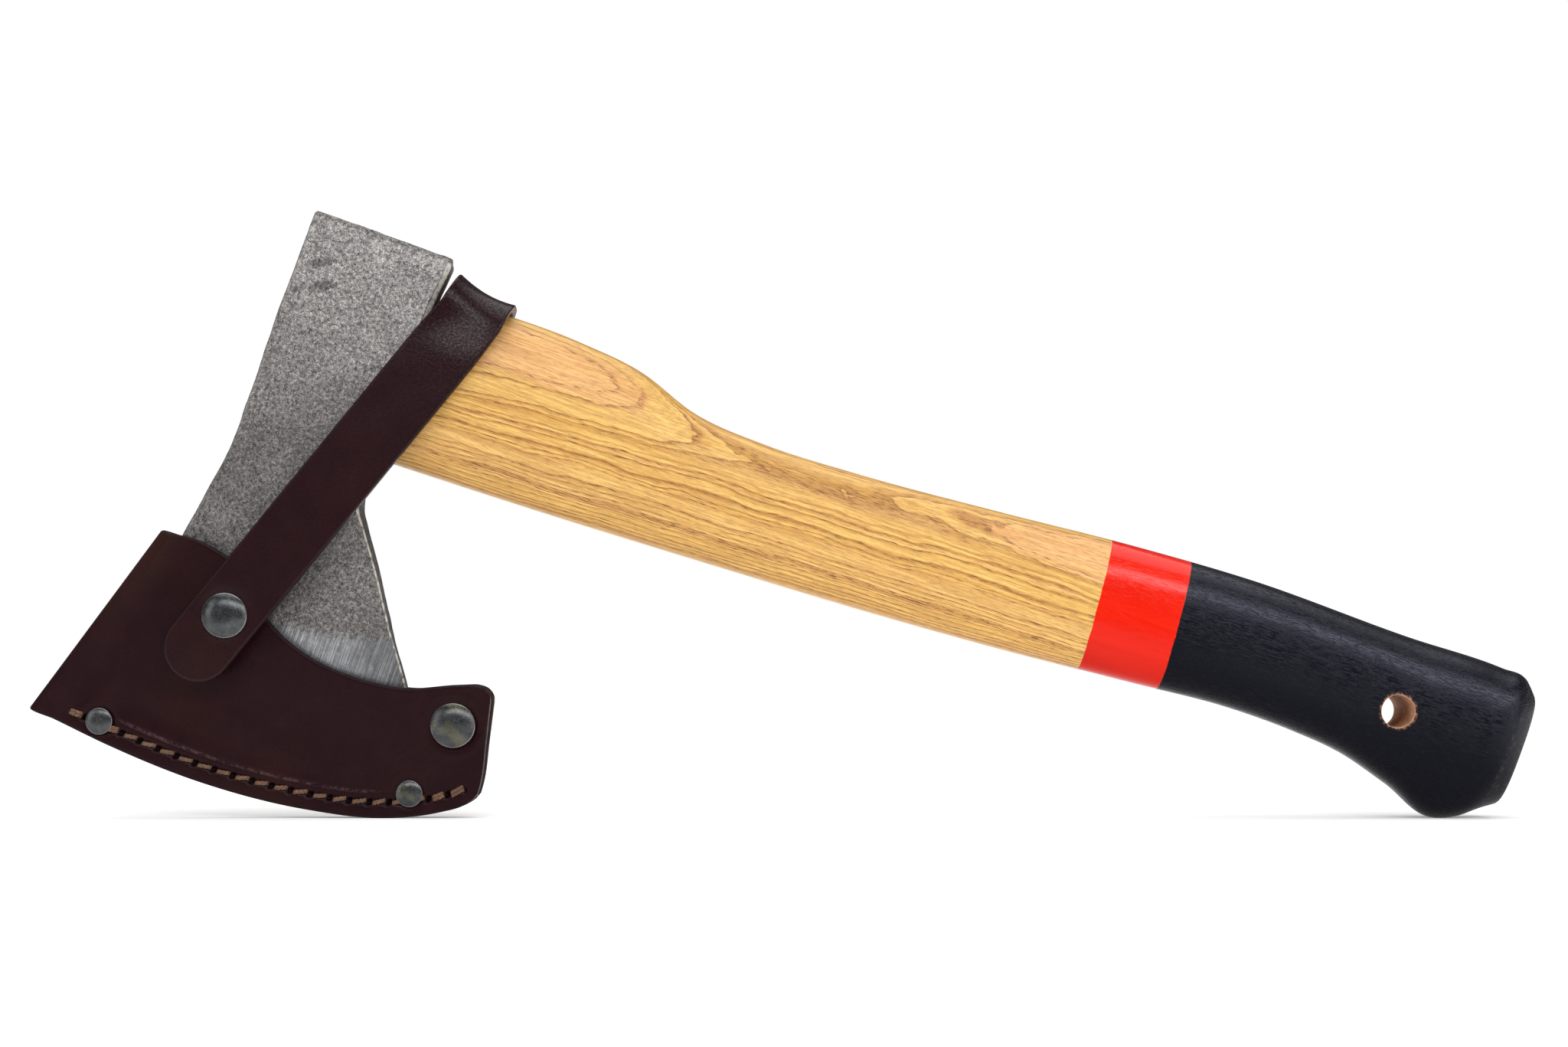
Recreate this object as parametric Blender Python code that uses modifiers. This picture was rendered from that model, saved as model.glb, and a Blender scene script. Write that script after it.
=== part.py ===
"""A bearded carving hatchet in its leather edge sheath, at real size in metres, +Z up.

Everything is drawn in the tool frame and then stood up. The tool frame has its origin on the
poll face, X along the handle towards the butt, Y through the thickness and Z from the cutting edge up to
the poll. The empty `stance` leans that frame so that the sheath and the knob of the handle touch the floor.
"""

import math

import bmesh
import bpy
import numpy as np
from mathutils import Vector

MM = 0.001
GAP = 0.3 * MM  # left between pieces that touch

# How the tool stands
LEAN = math.radians(19.795)
STANCE = (-0.10948, 0.00135, 0.1598)

# Head: side outline in X and Z, and the half thickness of its cheeks down its height
POLL_FRONT_X, POLL_BACK_X = -18.7 * MM, 20.4 * MM
POLL_CHAMFER = 0.9 * MM
CHEEK_Z = [0, -1, -12, -20, -56, -62, -75, -90, -105, -120, -135, -160]
CHEEK_Y = [9.4, 10.3, 10.9, 11.2, 11.2, 10.9, 8.4, 6.1, 4.5, 3.1, 1.8, 0.3]
TOE = (-31.6 * MM, -146.6 * MM)
HEEL = (61.4 * MM, -136.6 * MM)
EDGE_RADIUS = 162.6 * MM
EDGE_BEVEL = 0.135  # rise of each ground face for each metre away from the edge
EDGE_HALF = 0.12 * MM
HEAD_FRONT = [(-31.4, -143.5), (-27.9, -120), (-25.1, -100), (-23.0, -87), (-21.2, -77.5), (-19.3, -68.5),
              (-18.4, -58), (-18.6, -40)]

# Eye and the tongue of the handle in it
EYE_Z = -33.5 * MM
EYE_HALF_HEIGHT = 19.5 * MM
EYE_HALF_WIDTH = 7.75 * MM
SQUARENESS = 2.6  # exponent of the superellipse sections of the eye and the handle

# Handle: its upper edge, lower edge and half thickness against X
SHOULDER_X = 21.0 * MM
TONGUE_END_X = -18.3 * MM
HANDLE_TOP = [(21, -9.3), (60, -8.9), (79, -10.9), (97, -16.7), (118, -18.2), (145, -17.1), (184, -13.8),
              (223, -10.0), (256, -7.9), (303, -8.0), (330, -7.3), (336.5, -7.8), (340.8, -11.8)]
HANDLE_BOTTOM = [(21, -58.0), (60, -56.8), (118, -54.2), (158, -52.1), (197, -49.3), (236, -45.6), (262, -43.1),
                 (282, -43.1), (296, -44.3), (311, -48.2), (326, -52.5), (331.6, -50.0), (336.5, -46.0),
                 (340.8, -43.0)]
HANDLE_HALF = [(21, 11.1), (60, 10.8), (118, 10.2), (200, 10.6), (260, 11.4), (300, 11.6), (326, 12.3),
               (336.5, 11.2), (340.8, 8.0)]
HOLE_AT = (304.5 * MM, -28.9 * MM)
HOLE_RADIUS = 4.5 * MM

# Wedges in the end of the tongue
WEDGE_HALF_HEIGHT = 15.5 * MM
WEDGE_DEPTH = 28 * MM
WEDGE_THICK = 2.6 * MM
WEDGE_THIN = 0.8 * MM
RING_OUTER = 5.6 * MM
RING_INNER = 4.5 * MM
RING_DEPTH = 9 * MM

# Sheath: two panels and the fold between them are one hide, sewn over a welt along the cutting edge
LEATHER = 3.0 * MM
BLADE_CLEARANCE = 0.45 * MM
WELT_HALF = 1.3 * MM
FOLD_TOP = (-30.85 * MM, -97.4 * MM)
FOLD_SLOPE = 0.305  # how far the fold runs forward for each metre down
FOLD_DEPTH = 5.0 * MM
PANEL_END_X = 82 * MM
PINCH_FROM_X, PINCH_TO_X, PINCH_SHARE = 56 * MM, 69 * MM, 0.4
STITCH_LINE = [(-37.6, -151.4), (-22, -152.5), (5, -153.4), (28, -151.5), (48, -147.6), (64, -141.0), (73.2, -134.8)]
STITCH_PITCH = 5.45 * MM
THREAD_RADIUS = 0.45 * MM
GROOVE_RADIUS = 1.15 * MM
THREAD_DIP = 0.3 * MM
DETOUR, DETOUR_REACH = 2.2 * MM, 5.6 * MM  # the thread passes this far below the shank of a rivet
UNDER_CAP = 0.6 * MM  # how deep the thread lies where it passes under a rivet cap

# Strap: a flat strip that leaves the snap, folds over the handle and ends on the back panel
STRAP_WIDTH = 18.6 * MM
STRAP_THICK = 2.6 * MM
RIDGE_TILT = math.radians(10)  # the ridge over the handle dips this much towards the butt
STRAP_SKEW = math.radians(9.1)  # the front run meets the ridge this far off square
STRAP_BACK_SKEW = math.radians(14.5)  # the back run slants more, so that it passes behind the head
STRAP_Y = 13.2 * MM
STRAP_BEND = 8.0 * MM
RIDGE_N = 0.4 * MM
STRAP_TIP = 20.5 * MM  # from the snap to the rounded end
STRAP_TAIL = 12 * MM  # from the rivet to the end on the back panel
HINGE_OFFSET = 0.15 * MM

# Fasteners: X and Z of each, all on axes along Y
SNAP_AT = (-3.5 * MM, -112.2 * MM)
HEEL_RIVET_AT = (63.7 * MM, -119.8 * MM)
TOE_RIVET_AT = (-28.1 * MM, -151.6 * MM)
EDGE_RIVET_AT = (58.7 * MM, -141.5 * MM)
STRAP_RIVET_AT = (-14.3 * MM, -112.2 * MM)
LARGE_CAP = 6.2 * MM
SMALL_CAP = 3.7 * MM
TUBE_RADIUS = 1.5 * MM
PIN_RADIUS = 0.8 * MM
TUBE_BORE = 1.1 * MM
HOLE_SLACK = 0.35 * MM
STEPS = 20  # facets round a turned piece


def clear_scene():
    for thing in list(bpy.data.objects):
        bpy.data.objects.remove(thing, do_unlink=True)


def collection(name):
    made = bpy.data.collections.new(name)
    bpy.context.scene.collection.children.link(made)
    return made


def material(name, colour, roughness, metallic):
    made = bpy.data.materials.new(name)
    made.use_nodes = True
    shader = made.node_tree.nodes["Principled BSDF"]
    shader.inputs["Base Color"].default_value = (*colour, 1)
    shader.inputs["Roughness"].default_value = roughness
    shader.inputs["Metallic"].default_value = metallic
    return made


clear_scene()
PARTS = collection("carving_hatchet")
CUTTERS = collection("cutters")
LEATHER_CUTS = []  # everything that is cut out of the sheath's hide, in one Boolean at the end

ASH = material("lacquered_ash", (0.62, 0.38, 0.13), 0.35, 0.0)
WEDGE_WOOD = material("wedge_wood", (0.50, 0.33, 0.16), 0.6, 0.0)
FORGED = material("forged_steel", (0.33, 0.32, 0.30), 0.5, 0.9)
RING_STEEL = material("ring_steel", (0.45, 0.45, 0.44), 0.4, 1.0)
HIDE = material("burgundy_leather", (0.030, 0.012, 0.011), 0.5, 0.0)
STRAP_HIDE = material("strap_leather", (0.035, 0.014, 0.012), 0.45, 0.0)
WELT_HIDE = material("welt_leather", (0.045, 0.030, 0.025), 0.7, 0.0)
THREAD = material("waxed_thread", (0.32, 0.14, 0.05), 0.6, 0.0)
CAP_METAL = material("antique_cap", (0.12, 0.12, 0.12), 0.3, 1.0)
POST_METAL = material("post_metal", (0.35, 0.35, 0.36), 0.35, 1.0)


def empty(name, location, rotation=(0, 0, 0), parent=None):
    made = bpy.data.objects.new(name, None)
    made.empty_display_size = 0.02
    made.location = location
    made.rotation_euler = rotation
    made.parent = parent
    PARTS.objects.link(made)
    return made


def place(thing, body, surface=None):
    """Puts an object drawn in the tool frame on a body: an empty that the object then moves with."""
    thing.parent = body
    if body is not STAND:
        thing.matrix_parent_inverse = body.matrix_basis.inverted()
    if surface:
        PARTS.objects.link(thing)
        thing.data.materials.append(surface)
    else:
        CUTTERS.objects.link(thing)
        thing.hide_render = True
        thing.display_type = "WIRE"
    return thing


def cut(thing, *cutters, operation="DIFFERENCE"):
    """One Boolean; several cutters are gathered in a collection and cut together."""
    modifier = thing.modifiers.new(operation.lower(), "BOOLEAN")
    modifier.operation = operation
    modifier.solver = "EXACT"
    if len(cutters) == 1:
        modifier.object = cutters[0]
        return
    together = bpy.data.collections.new(f"{thing.name}_cutters")
    CUTTERS.children.link(together)
    for cutter in cutters:
        together.objects.link(cutter)
    modifier.operand_type = "COLLECTION"
    modifier.collection = together


def as_mesh(curve_object):
    """A closed mesh object in place of a curve object, with the curve's end caps welded on."""
    bpy.context.scene.collection.objects.link(curve_object)
    graph = bpy.context.evaluated_depsgraph_get()
    mesh = bpy.data.meshes.new_from_object(curve_object.evaluated_get(graph))
    shape = bmesh.new()
    shape.from_mesh(mesh)
    bmesh.ops.remove_doubles(shape, verts=shape.verts, dist=0.01 * MM)
    bmesh.ops.recalc_face_normals(shape, faces=shape.faces)
    shape.to_mesh(mesh)
    shape.free()
    made = bpy.data.objects.new(curve_object.name, mesh)
    made.matrix_world = curve_object.matrix_basis
    bpy.data.objects.remove(curve_object, do_unlink=True)
    made.name = mesh.name
    return made


def flat_outline(name, points, half_depth, rotation, smooth=True):
    """A plate of the given outline; a point with a third value is a corner."""
    curve = bpy.data.curves.new(name, "CURVE")
    curve.dimensions = "2D"
    curve.fill_mode = "BOTH"
    curve.extrude = half_depth
    curve.resolution_u = 4
    spline = curve.splines.new("BEZIER" if smooth else "POLY")
    spline.use_cyclic_u = True
    if smooth:
        spline.bezier_points.add(len(points) - 1)
        for knot, point in zip(spline.bezier_points, points):
            knot.co = (point[0], point[1], 0)
            knot.handle_left_type = knot.handle_right_type = "VECTOR" if len(point) > 2 else "AUTO"
    else:
        spline.points.add(len(points) - 1)
        for knot, point in zip(spline.points, points):
            knot.co = (point[0], point[1], 0, 1)
    drawn = bpy.data.objects.new(name, curve)
    drawn.rotation_euler = rotation
    return as_mesh(drawn)


IN_XZ = (math.pi / 2, 0, 0)  # an outline's x and y become X and Z
IN_YZ = (math.pi / 2, 0, math.pi / 2)  # an outline's x and y become Y and Z


def in_mm(points):
    return [(p[0] * MM, p[1] * MM, *p[2:]) for p in points]


def tube(name, points, radius, resolution):
    curve = bpy.data.curves.new(name, "CURVE")
    curve.dimensions = "3D"
    curve.bevel_depth = radius
    curve.bevel_resolution = resolution
    curve.use_fill_caps = True
    spline = curve.splines.new("POLY")
    spline.points.add(len(points) - 1)
    for knot, point in zip(spline.points, points):
        knot.co = (*point, 1)
    return as_mesh(bpy.data.objects.new(name, curve))


def turned(name, profile, at, facing, steps=STEPS):
    """A solid turned from (radius, height) points; `facing` is the rotation that aims its axis."""
    mesh = bpy.data.meshes.new(name)
    shape = bmesh.new()
    knots = [shape.verts.new((radius, 0, height)) for radius, height in profile]
    closed = profile[0][0] > 0
    for first, second in zip(knots, knots[1:] + knots[:1] if closed else knots[1:]):
        shape.edges.new((first, second))
    shape.to_mesh(mesh)
    shape.free()
    made = bpy.data.objects.new(name, mesh)
    screw = made.modifiers.new("turn", "SCREW")
    screw.axis = "Z"
    screw.angle = 2 * math.pi
    screw.steps = screw.render_steps = steps
    screw.use_merge_vertices = True
    screw.merge_threshold = 0.00001
    made.location = at
    made.rotation_euler = facing
    return made


TO_FRONT = (math.pi / 2, 0, 0)  # the axis points to -Y
TO_BACK = (-math.pi / 2, 0, 0)  # the axis points to +Y
TO_TOE_SIDE = (0, -math.pi / 2, 0)  # the axis points to -X


def newest(name):
    """The object that the last operator made, named and taken out of the scene's own collection."""
    made = bpy.context.object
    for owner in list(made.users_collection):
        owner.objects.unlink(made)
    made.name = name
    return made


def drill(name, at, radius, y_from, y_to, body, sides=14):
    """A round cutter along Y between two depths."""
    bpy.ops.mesh.primitive_cylinder_add(vertices=sides, radius=radius, depth=abs(y_to - y_from))
    made = newest(name)
    made.rotation_euler = TO_FRONT
    made.location = (at[0], (y_from + y_to) / 2, at[1])
    return place(made, body)


def smooth_read(points, x):
    """A smooth curve through the points, read at x; its slope at a point is that of the points beside it."""
    xs, ys = np.array(points, float).T
    slopes = np.gradient(ys, xs)
    i = int(np.clip(np.searchsorted(xs, x) - 1, 0, len(xs) - 2))
    span = xs[i + 1] - xs[i]
    t = (x - xs[i]) / span
    return float((1 + 2 * t) * (1 - t) ** 2 * ys[i] + t * (1 - t) ** 2 * span * slopes[i]
                 + t * t * (3 - 2 * t) * ys[i + 1] + t * t * (t - 1) * span * slopes[i + 1])


def cheek_half(z):
    """Half the thickness of the head at height z."""
    return float(np.interp(-z / MM, -np.array(CHEEK_Z), CHEEK_Y)) * MM


def panel_gap(x, z):
    """Half the room between the two panels: the blade and its clearance, closing to the welt."""
    welt = WELT_HALF + GAP
    share = 1 - (1 - PINCH_SHARE) * float(np.clip((x - PINCH_FROM_X) / (PINCH_TO_X - PINCH_FROM_X), 0, 1))
    return welt + max(cheek_half(z) + BLADE_CLEARANCE - welt, 0) * share


def superellipse(centre, half_width, half_height, count):
    """Section points (y, z), from the top round by +Y."""
    turns = [2 * math.pi * i / count for i in range(count)]
    power = 2 / SQUARENESS
    return [(half_width * math.copysign(abs(math.sin(t)) ** power, math.sin(t)),
             centre + half_height * math.copysign(abs(math.cos(t)) ** power, math.cos(t))) for t in turns]


# ---------------------------------------------------------------- bodies

STAND = empty("stance", STANCE, (0, LEAN, 0))
HATCHET = empty("hatchet_slide", (15 * MM, 0, -105 * MM), (0, math.radians(5.5), 0), STAND)


def ridge_to_tool(along, y, n):
    """From distances along the strap's ridge, through the tool and square to the ridge."""
    c, s = math.cos(RIDGE_TILT), math.sin(RIDGE_TILT)
    return Vector((along * c + n * s, y, n * c - along * s))


def tool_to_ridge(x, z):
    c, s = math.cos(RIDGE_TILT), math.sin(RIDGE_TILT)
    return x * c - z * s, x * s + z * c


SNAP_ALONG, SNAP_N = tool_to_ridge(*SNAP_AT)
BEND_N = RIDGE_N - STRAP_BEND
FRONT_RUN = BEND_N - SNAP_N
ARC = STRAP_BEND * math.pi / 2
TOP_RUN = 2 * (STRAP_Y - STRAP_BEND)
HINGE_S = FRONT_RUN + ARC + TOP_RUN + ARC
HINGE_ALONG = SNAP_ALONG + FRONT_RUN * math.tan(STRAP_SKEW)
HINGE = ridge_to_tool(HINGE_ALONG, STRAP_Y + STRAP_THICK / 2 + HINGE_OFFSET, BEND_N)
FLAP = empty("strap_hinge", HINGE, (0, RIDGE_TILT, 0), STAND)
SHEATH = STAND


# ---------------------------------------------------------------- head and handle

def bezier(a, b, c, d, count):
    """Points of a cubic curve, without its first."""
    ts = [i / count for i in range(1, count + 1)]
    return [tuple((1 - t) ** 3 * p + 3 * t * (1 - t) ** 2 * q + 3 * t * t * (1 - t) * r + t ** 3 * s
                  for p, q, r, s in zip(a, b, c, d)) for t in ts]


def edge_centre():
    """Centre of the circle that the cutting edge follows from the toe to the heel."""
    toe, heel = Vector(TOE), Vector(HEEL)
    chord = heel - toe
    rise = math.sqrt(EDGE_RADIUS ** 2 - (chord.length / 2) ** 2)
    return (toe + heel) / 2 + Vector((-chord.y, chord.x)).normalized() * rise


def head_outline():
    """Side view of the head, clockwise from the poll; the edge itself is left to the ground faces."""
    centre = edge_centre()

    def on_edge(x):
        return (x, centre.y - math.sqrt((EDGE_RADIUS + MM) ** 2 - (x - centre.x) ** 2))

    poll = [(POLL_FRONT_X + POLL_CHAMFER, 0), (POLL_BACK_X - POLL_CHAMFER, 0), (POLL_BACK_X, -POLL_CHAMFER)]
    beard = in_mm([(20.6, -66), *bezier((20.6, -66), (20.6, -76), (45, -109), (58.8, -132.2), 9)])
    heel = in_mm(bezier((58.8, -132.2), (60.2, -135.4), (60.2, -137.2), (56.5, -138.6), 4))
    edge = [on_edge(x * MM) for x in np.linspace(56, -28.5, 5)]
    toe = in_mm([(-30.6, -146.0)])
    return poll + beard + heel + edge + toe + in_mm(HEAD_FRONT) + [(POLL_FRONT_X, -POLL_CHAMFER)]


def make_head():
    head = place(flat_outline("head", head_outline(), 20 * MM, IN_XZ, smooth=False), HATCHET, FORGED)
    halves = in_mm([(y, z) for z, y in zip(CHEEK_Z, CHEEK_Y)])
    wedge = halves + [(-y, z) for y, z in reversed(halves)]
    wedge_prism = place(flat_outline("cheek_planes", wedge, 90 * MM, IN_YZ, smooth=False), HATCHET)
    cut(head, wedge_prism, operation="INTERSECT")
    centre = edge_centre()
    apex = EDGE_HALF + EDGE_BEVEL * EDGE_RADIUS
    grind = turned("edge_grind", [(0, apex), (EDGE_RADIUS, EDGE_HALF), (EDGE_RADIUS, -EDGE_HALF), (0, -apex)],
                   (centre.x, 0, centre.y), TO_FRONT, steps=120)
    cut(head, place(grind, HATCHET), operation="INTERSECT")
    section = superellipse(EYE_Z, EYE_HALF_WIDTH, EYE_HALF_HEIGHT, 28)
    cut(head, place(flat_outline("eye", section, 60 * MM, IN_YZ, smooth=False), HATCHET))


def loft(name, rows):
    """A closed solid through rows of equally many points."""
    mesh = bpy.data.meshes.new(name)
    shape = bmesh.new()
    rings = [[shape.verts.new(point) for point in row] for row in rows]
    count = len(rings[0])
    for one, two in zip(rings, rings[1:]):
        for i in range(count):
            j = (i + 1) % count
            shape.faces.new((one[i], one[j], two[j], two[i]))
    shape.faces.new(rings[0])
    shape.faces.new(reversed(rings[-1]))
    bmesh.ops.recalc_face_normals(shape, faces=shape.faces)
    shape.to_mesh(mesh)
    shape.free()
    return bpy.data.objects.new(name, mesh)


def handle_rows():
    sides = 22
    tongue = superellipse(EYE_Z, EYE_HALF_WIDTH - GAP, EYE_HALF_HEIGHT - GAP, sides)
    rows = [[(x, *point) for point in tongue] for x in (TONGUE_END_X, SHOULDER_X)]
    grip = np.concatenate([np.linspace(21, 66, 5), np.linspace(74, 98, 5), np.linspace(110, 286, 15),
                           np.linspace(295, 326, 5), [331.6, 336.5, 340.8]])
    for x in grip:
        top, bottom, half = (smooth_read(edge, x) * MM for edge in (HANDLE_TOP, HANDLE_BOTTOM, HANDLE_HALF))
        section = superellipse((top + bottom) / 2, half, (top - bottom) / 2, sides)
        rows.append([(x * MM, *point) for point in section])
    return rows


def tapered_wedge(name, slack):
    """A flat wedge that thins from the tongue's end towards the butt."""
    wide, narrow, high = WEDGE_THICK / 2 + slack, WEDGE_THIN / 2 + slack, WEDGE_HALF_HEIGHT + slack
    start = TONGUE_END_X - (2 * MM if slack else 0)
    stop = TONGUE_END_X + WEDGE_DEPTH + slack
    rows = [[(x, -w, EYE_Z - high), (x, w, EYE_Z - high), (x, w, EYE_Z + high), (x, -w, EYE_Z + high)]
            for x, w in ((start, wide), (stop, narrow))]
    return loft(name, rows)


def ring(name, slack):
    """The steel ring driven into the end grain, or with slack its channel."""
    top = 0 if not slack else 2 * MM
    low = -RING_DEPTH - slack
    outer, inner = RING_OUTER + slack, RING_INNER - slack
    return turned(name, [(outer, top), (outer, low), (inner, low), (inner, top)],
                  (TONGUE_END_X, 0, EYE_Z), TO_TOE_SIDE)


def make_handle():
    handle = place(loft("handle", handle_rows()), HATCHET, ASH)
    hole = drill("hang_hole", HOLE_AT, HOLE_RADIUS, -30 * MM, 30 * MM, HATCHET, sides=24)
    kerf = place(tapered_wedge("kerf", GAP), HATCHET)
    channel = place(ring("ring_channel", GAP), HATCHET)
    cut(handle, hole, kerf, channel)
    wedge = place(tapered_wedge("handle_wedge", 0), HATCHET, WEDGE_WOOD)
    cut(wedge, channel)
    place(ring("ring_wedge", 0), HATCHET, RING_STEEL)


# ---------------------------------------------------------------- sheath

SHEATH_OUTLINE = [(-62, -97.6, 1), (-31, -97.6, 1), (-24, -95.8), (-16, -95.8), (-9.6, -97.2), (-1.5, -102.5),
                  (6.9, -110), (19, -115), (33, -116.4), (48, -114.6), (62, -108.5), (68, -107.6), (71.2, -110.4),
                  (74.2, -121), (77.1, -133.4), (76.1, -137.2), (68, -143.7), (54, -150.4), (34, -155.2),
                  (5, -158.1), (-24, -157.1), (-43, -155.1, 1), (-62, -152.4, 1)]

WELT_OUTLINE = [(-40, -154.3, 1), (-24, -156.4), (4, -157.4), (33, -154.6), (53.5, -149.8), (70, -141.8),
                (76.1, -135.8, 1), (74.9, -131.3, 1), (63.5, -137.8), (50, -144.3), (27, -149.7), (2, -151.2),
                (-24, -150.0), (-38, -148.6, 1)]


def panel_half():
    """The middle surface of the front panel and half the fold, open at the plane between the panels."""
    across, round_fold, down = 9, 6, 8
    top_z, low_z = -92 * MM, -162 * MM
    bpy.ops.mesh.primitive_grid_add(x_subdivisions=across + round_fold, y_subdivisions=down, size=2)
    half = newest("sheath_leather")
    for vertex in half.data.vertices:
        u = (vertex.co.x + 1) / 2 * (across + round_fold)
        z = low_z + (vertex.co.y + 1) / 2 * (top_z - low_z)
        crease_x = FOLD_TOP[0] - (FOLD_TOP[1] - z) * FOLD_SLOPE + LEATHER / 2
        out = panel_gap(crease_x, z) + LEATHER / 2
        depth = min(FOLD_DEPTH, out)
        if u < round_fold:
            turn = u / round_fold * math.pi / 2
            vertex.co = (crease_x + depth * (1 - math.cos(turn)), -out * math.sin(turn), z)
            if u < 0.01:
                vertex.co.y = 0
        else:
            share = (u - round_fold) / across
            x = crease_x + depth + share * (PANEL_END_X - crease_x - depth)
            vertex.co = (x, -panel_gap(x, z) - LEATHER / 2, z)
    mirror = half.modifiers.new("back panel", "MIRROR")
    mirror.use_axis = (False, True, False)
    mirror.merge_threshold = 0.00005
    solid = half.modifiers.new("hide thickness", "SOLIDIFY")
    solid.thickness = LEATHER
    solid.offset = 0
    return half


def stitch_path(spacing):
    """Evenly spaced (x, z) points along the stitch line, led round the shanks of the rivets that sit on it."""
    xs = np.linspace(STITCH_LINE[0][0], STITCH_LINE[-1][0], 400)
    line = np.array([(x, smooth_read(STITCH_LINE, x)) for x in xs]) * MM
    run = np.concatenate([[0], np.cumsum(np.hypot(*np.diff(line, axis=0).T))])
    steps = np.arange(0, run[-1], spacing)
    points = np.array([np.interp(steps, run, line[:, i]) for i in (0, 1)]).T
    for at in (TOE_RIVET_AT, EDGE_RIVET_AT):
        away = np.hypot(*(points - np.array(at)).T)
        swell = (1 + np.cos(math.pi * np.clip(away / DETOUR_REACH, 0, 1))) / 2
        points[:, 1] -= DETOUR * swell
    near = [min(math.dist(point, at) for at in (TOE_RIVET_AT, EDGE_RIVET_AT)) < SMALL_CAP + MM for point in points]
    return points, near


def surface_y(x, z):
    return panel_gap(x, z) + LEATHER


def thread(name, side):
    """One thread: it lies in the stitch groove, dips at each hole and runs low under the rivet caps."""
    spacing = STITCH_PITCH / 4
    points, near = stitch_path(spacing)
    heights = (-THREAD_DIP, 0.12 * MM, 0.25 * MM, 0.12 * MM)
    path = []
    for i, (x, z) in enumerate(points):
        height = -UNDER_CAP if near[i] else heights[i % 4]
        path.append((x, side * (surface_y(x, z) + height), z))
    return place(tube(name, path, THREAD_RADIUS, 1), SHEATH, THREAD)


def groove(name, side):
    points, near = stitch_path(STITCH_PITCH / 2.5)
    points = np.array([2 * points[0] - points[1], *points, 2 * points[-1] - points[-2]])
    near = [near[0], *near, near[-1]]
    depths = [UNDER_CAP - THREAD_DIP / 2 if under else 0 for under in near]
    path = [(x, side * (surface_y(x, z) - depth), z) for (x, z), depth in zip(points, depths)]
    return place(tube(name, path, GROOVE_RADIUS, 1), SHEATH)


def make_sheath():
    leather = place(panel_half(), SHEATH, HIDE)
    outline = flat_outline("sheath_outline", in_mm(SHEATH_OUTLINE), 40 * MM, IN_XZ)
    cut(leather, place(outline, SHEATH), operation="INTERSECT")
    for name, side in (("front", -1), ("back", 1)):
        LEATHER_CUTS.append(groove(f"groove_{name}", side))
        thread(f"stitch_thread_{name}", side)
    welt = place(flat_outline("sheath_welt", in_mm(WELT_OUTLINE), WELT_HALF, IN_XZ), SHEATH, WELT_HIDE)
    return leather, welt


# ---------------------------------------------------------------- strap

STRAP_BACK_LINE = [(STRAP_Y, BEND_N), (STRAP_Y, -58 * MM), (10.4 * MM, -99 * MM), (7.7 * MM, -127 * MM)]


def strap_profile(s):
    """(y, n) of the strap's middle surface, at distance s from the snap square to the ridge."""
    if s < FRONT_RUN:
        return -STRAP_Y, SNAP_N + s
    s -= FRONT_RUN
    if s < ARC:
        turn = s / STRAP_BEND
        return -STRAP_Y + STRAP_BEND * (1 - math.cos(turn)), BEND_N + STRAP_BEND * math.sin(turn)
    s -= ARC
    if s < TOP_RUN:
        return -STRAP_Y + STRAP_BEND + s, RIDGE_N
    s -= TOP_RUN
    if s < ARC:
        turn = s / STRAP_BEND
        return STRAP_Y - STRAP_BEND * (1 - math.sin(turn)), BEND_N + STRAP_BEND * math.cos(turn)
    s -= ARC
    for (y0, n0), (y1, n1) in zip(STRAP_BACK_LINE, STRAP_BACK_LINE[1:]):
        length = math.hypot(y1 - y0, n1 - n0)
        if s <= length:
            break
        s -= length
    return y0 + (y1 - y0) * s / length, n0 + (n1 - n0) * s / length


def strap_centre(s):
    """How far along the ridge the middle of the strip lies at distance s."""
    forward = min(s, FRONT_RUN) * math.tan(STRAP_SKEW)
    return SNAP_ALONG + forward - max(s - HINGE_S, 0) * math.tan(STRAP_BACK_SKEW)


def strap_piece(name, rows, body):
    """A stretch of the strip; each row is its distance s, its turn from the ridge and its half width."""
    columns = 4
    bpy.ops.mesh.primitive_grid_add(x_subdivisions=columns, y_subdivisions=len(rows) - 1, size=2)
    piece = newest(name)
    for vertex in piece.data.vertices:
        s, turn, half = rows[round((vertex.co.y + 1) / 2 * (len(rows) - 1))]
        q = vertex.co.x * half / math.cos((STRAP_SKEW if s < HINGE_S else STRAP_BACK_SKEW) - abs(turn))
        vertex.co = ridge_to_tool(strap_centre(s) + q * math.cos(turn), *strap_profile(s - q * math.sin(turn)))
    solid = piece.modifiers.new("strap thickness", "SOLIDIFY")
    solid.thickness = STRAP_THICK
    solid.offset = 0
    return place(piece, body, STRAP_HIDE)


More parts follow.
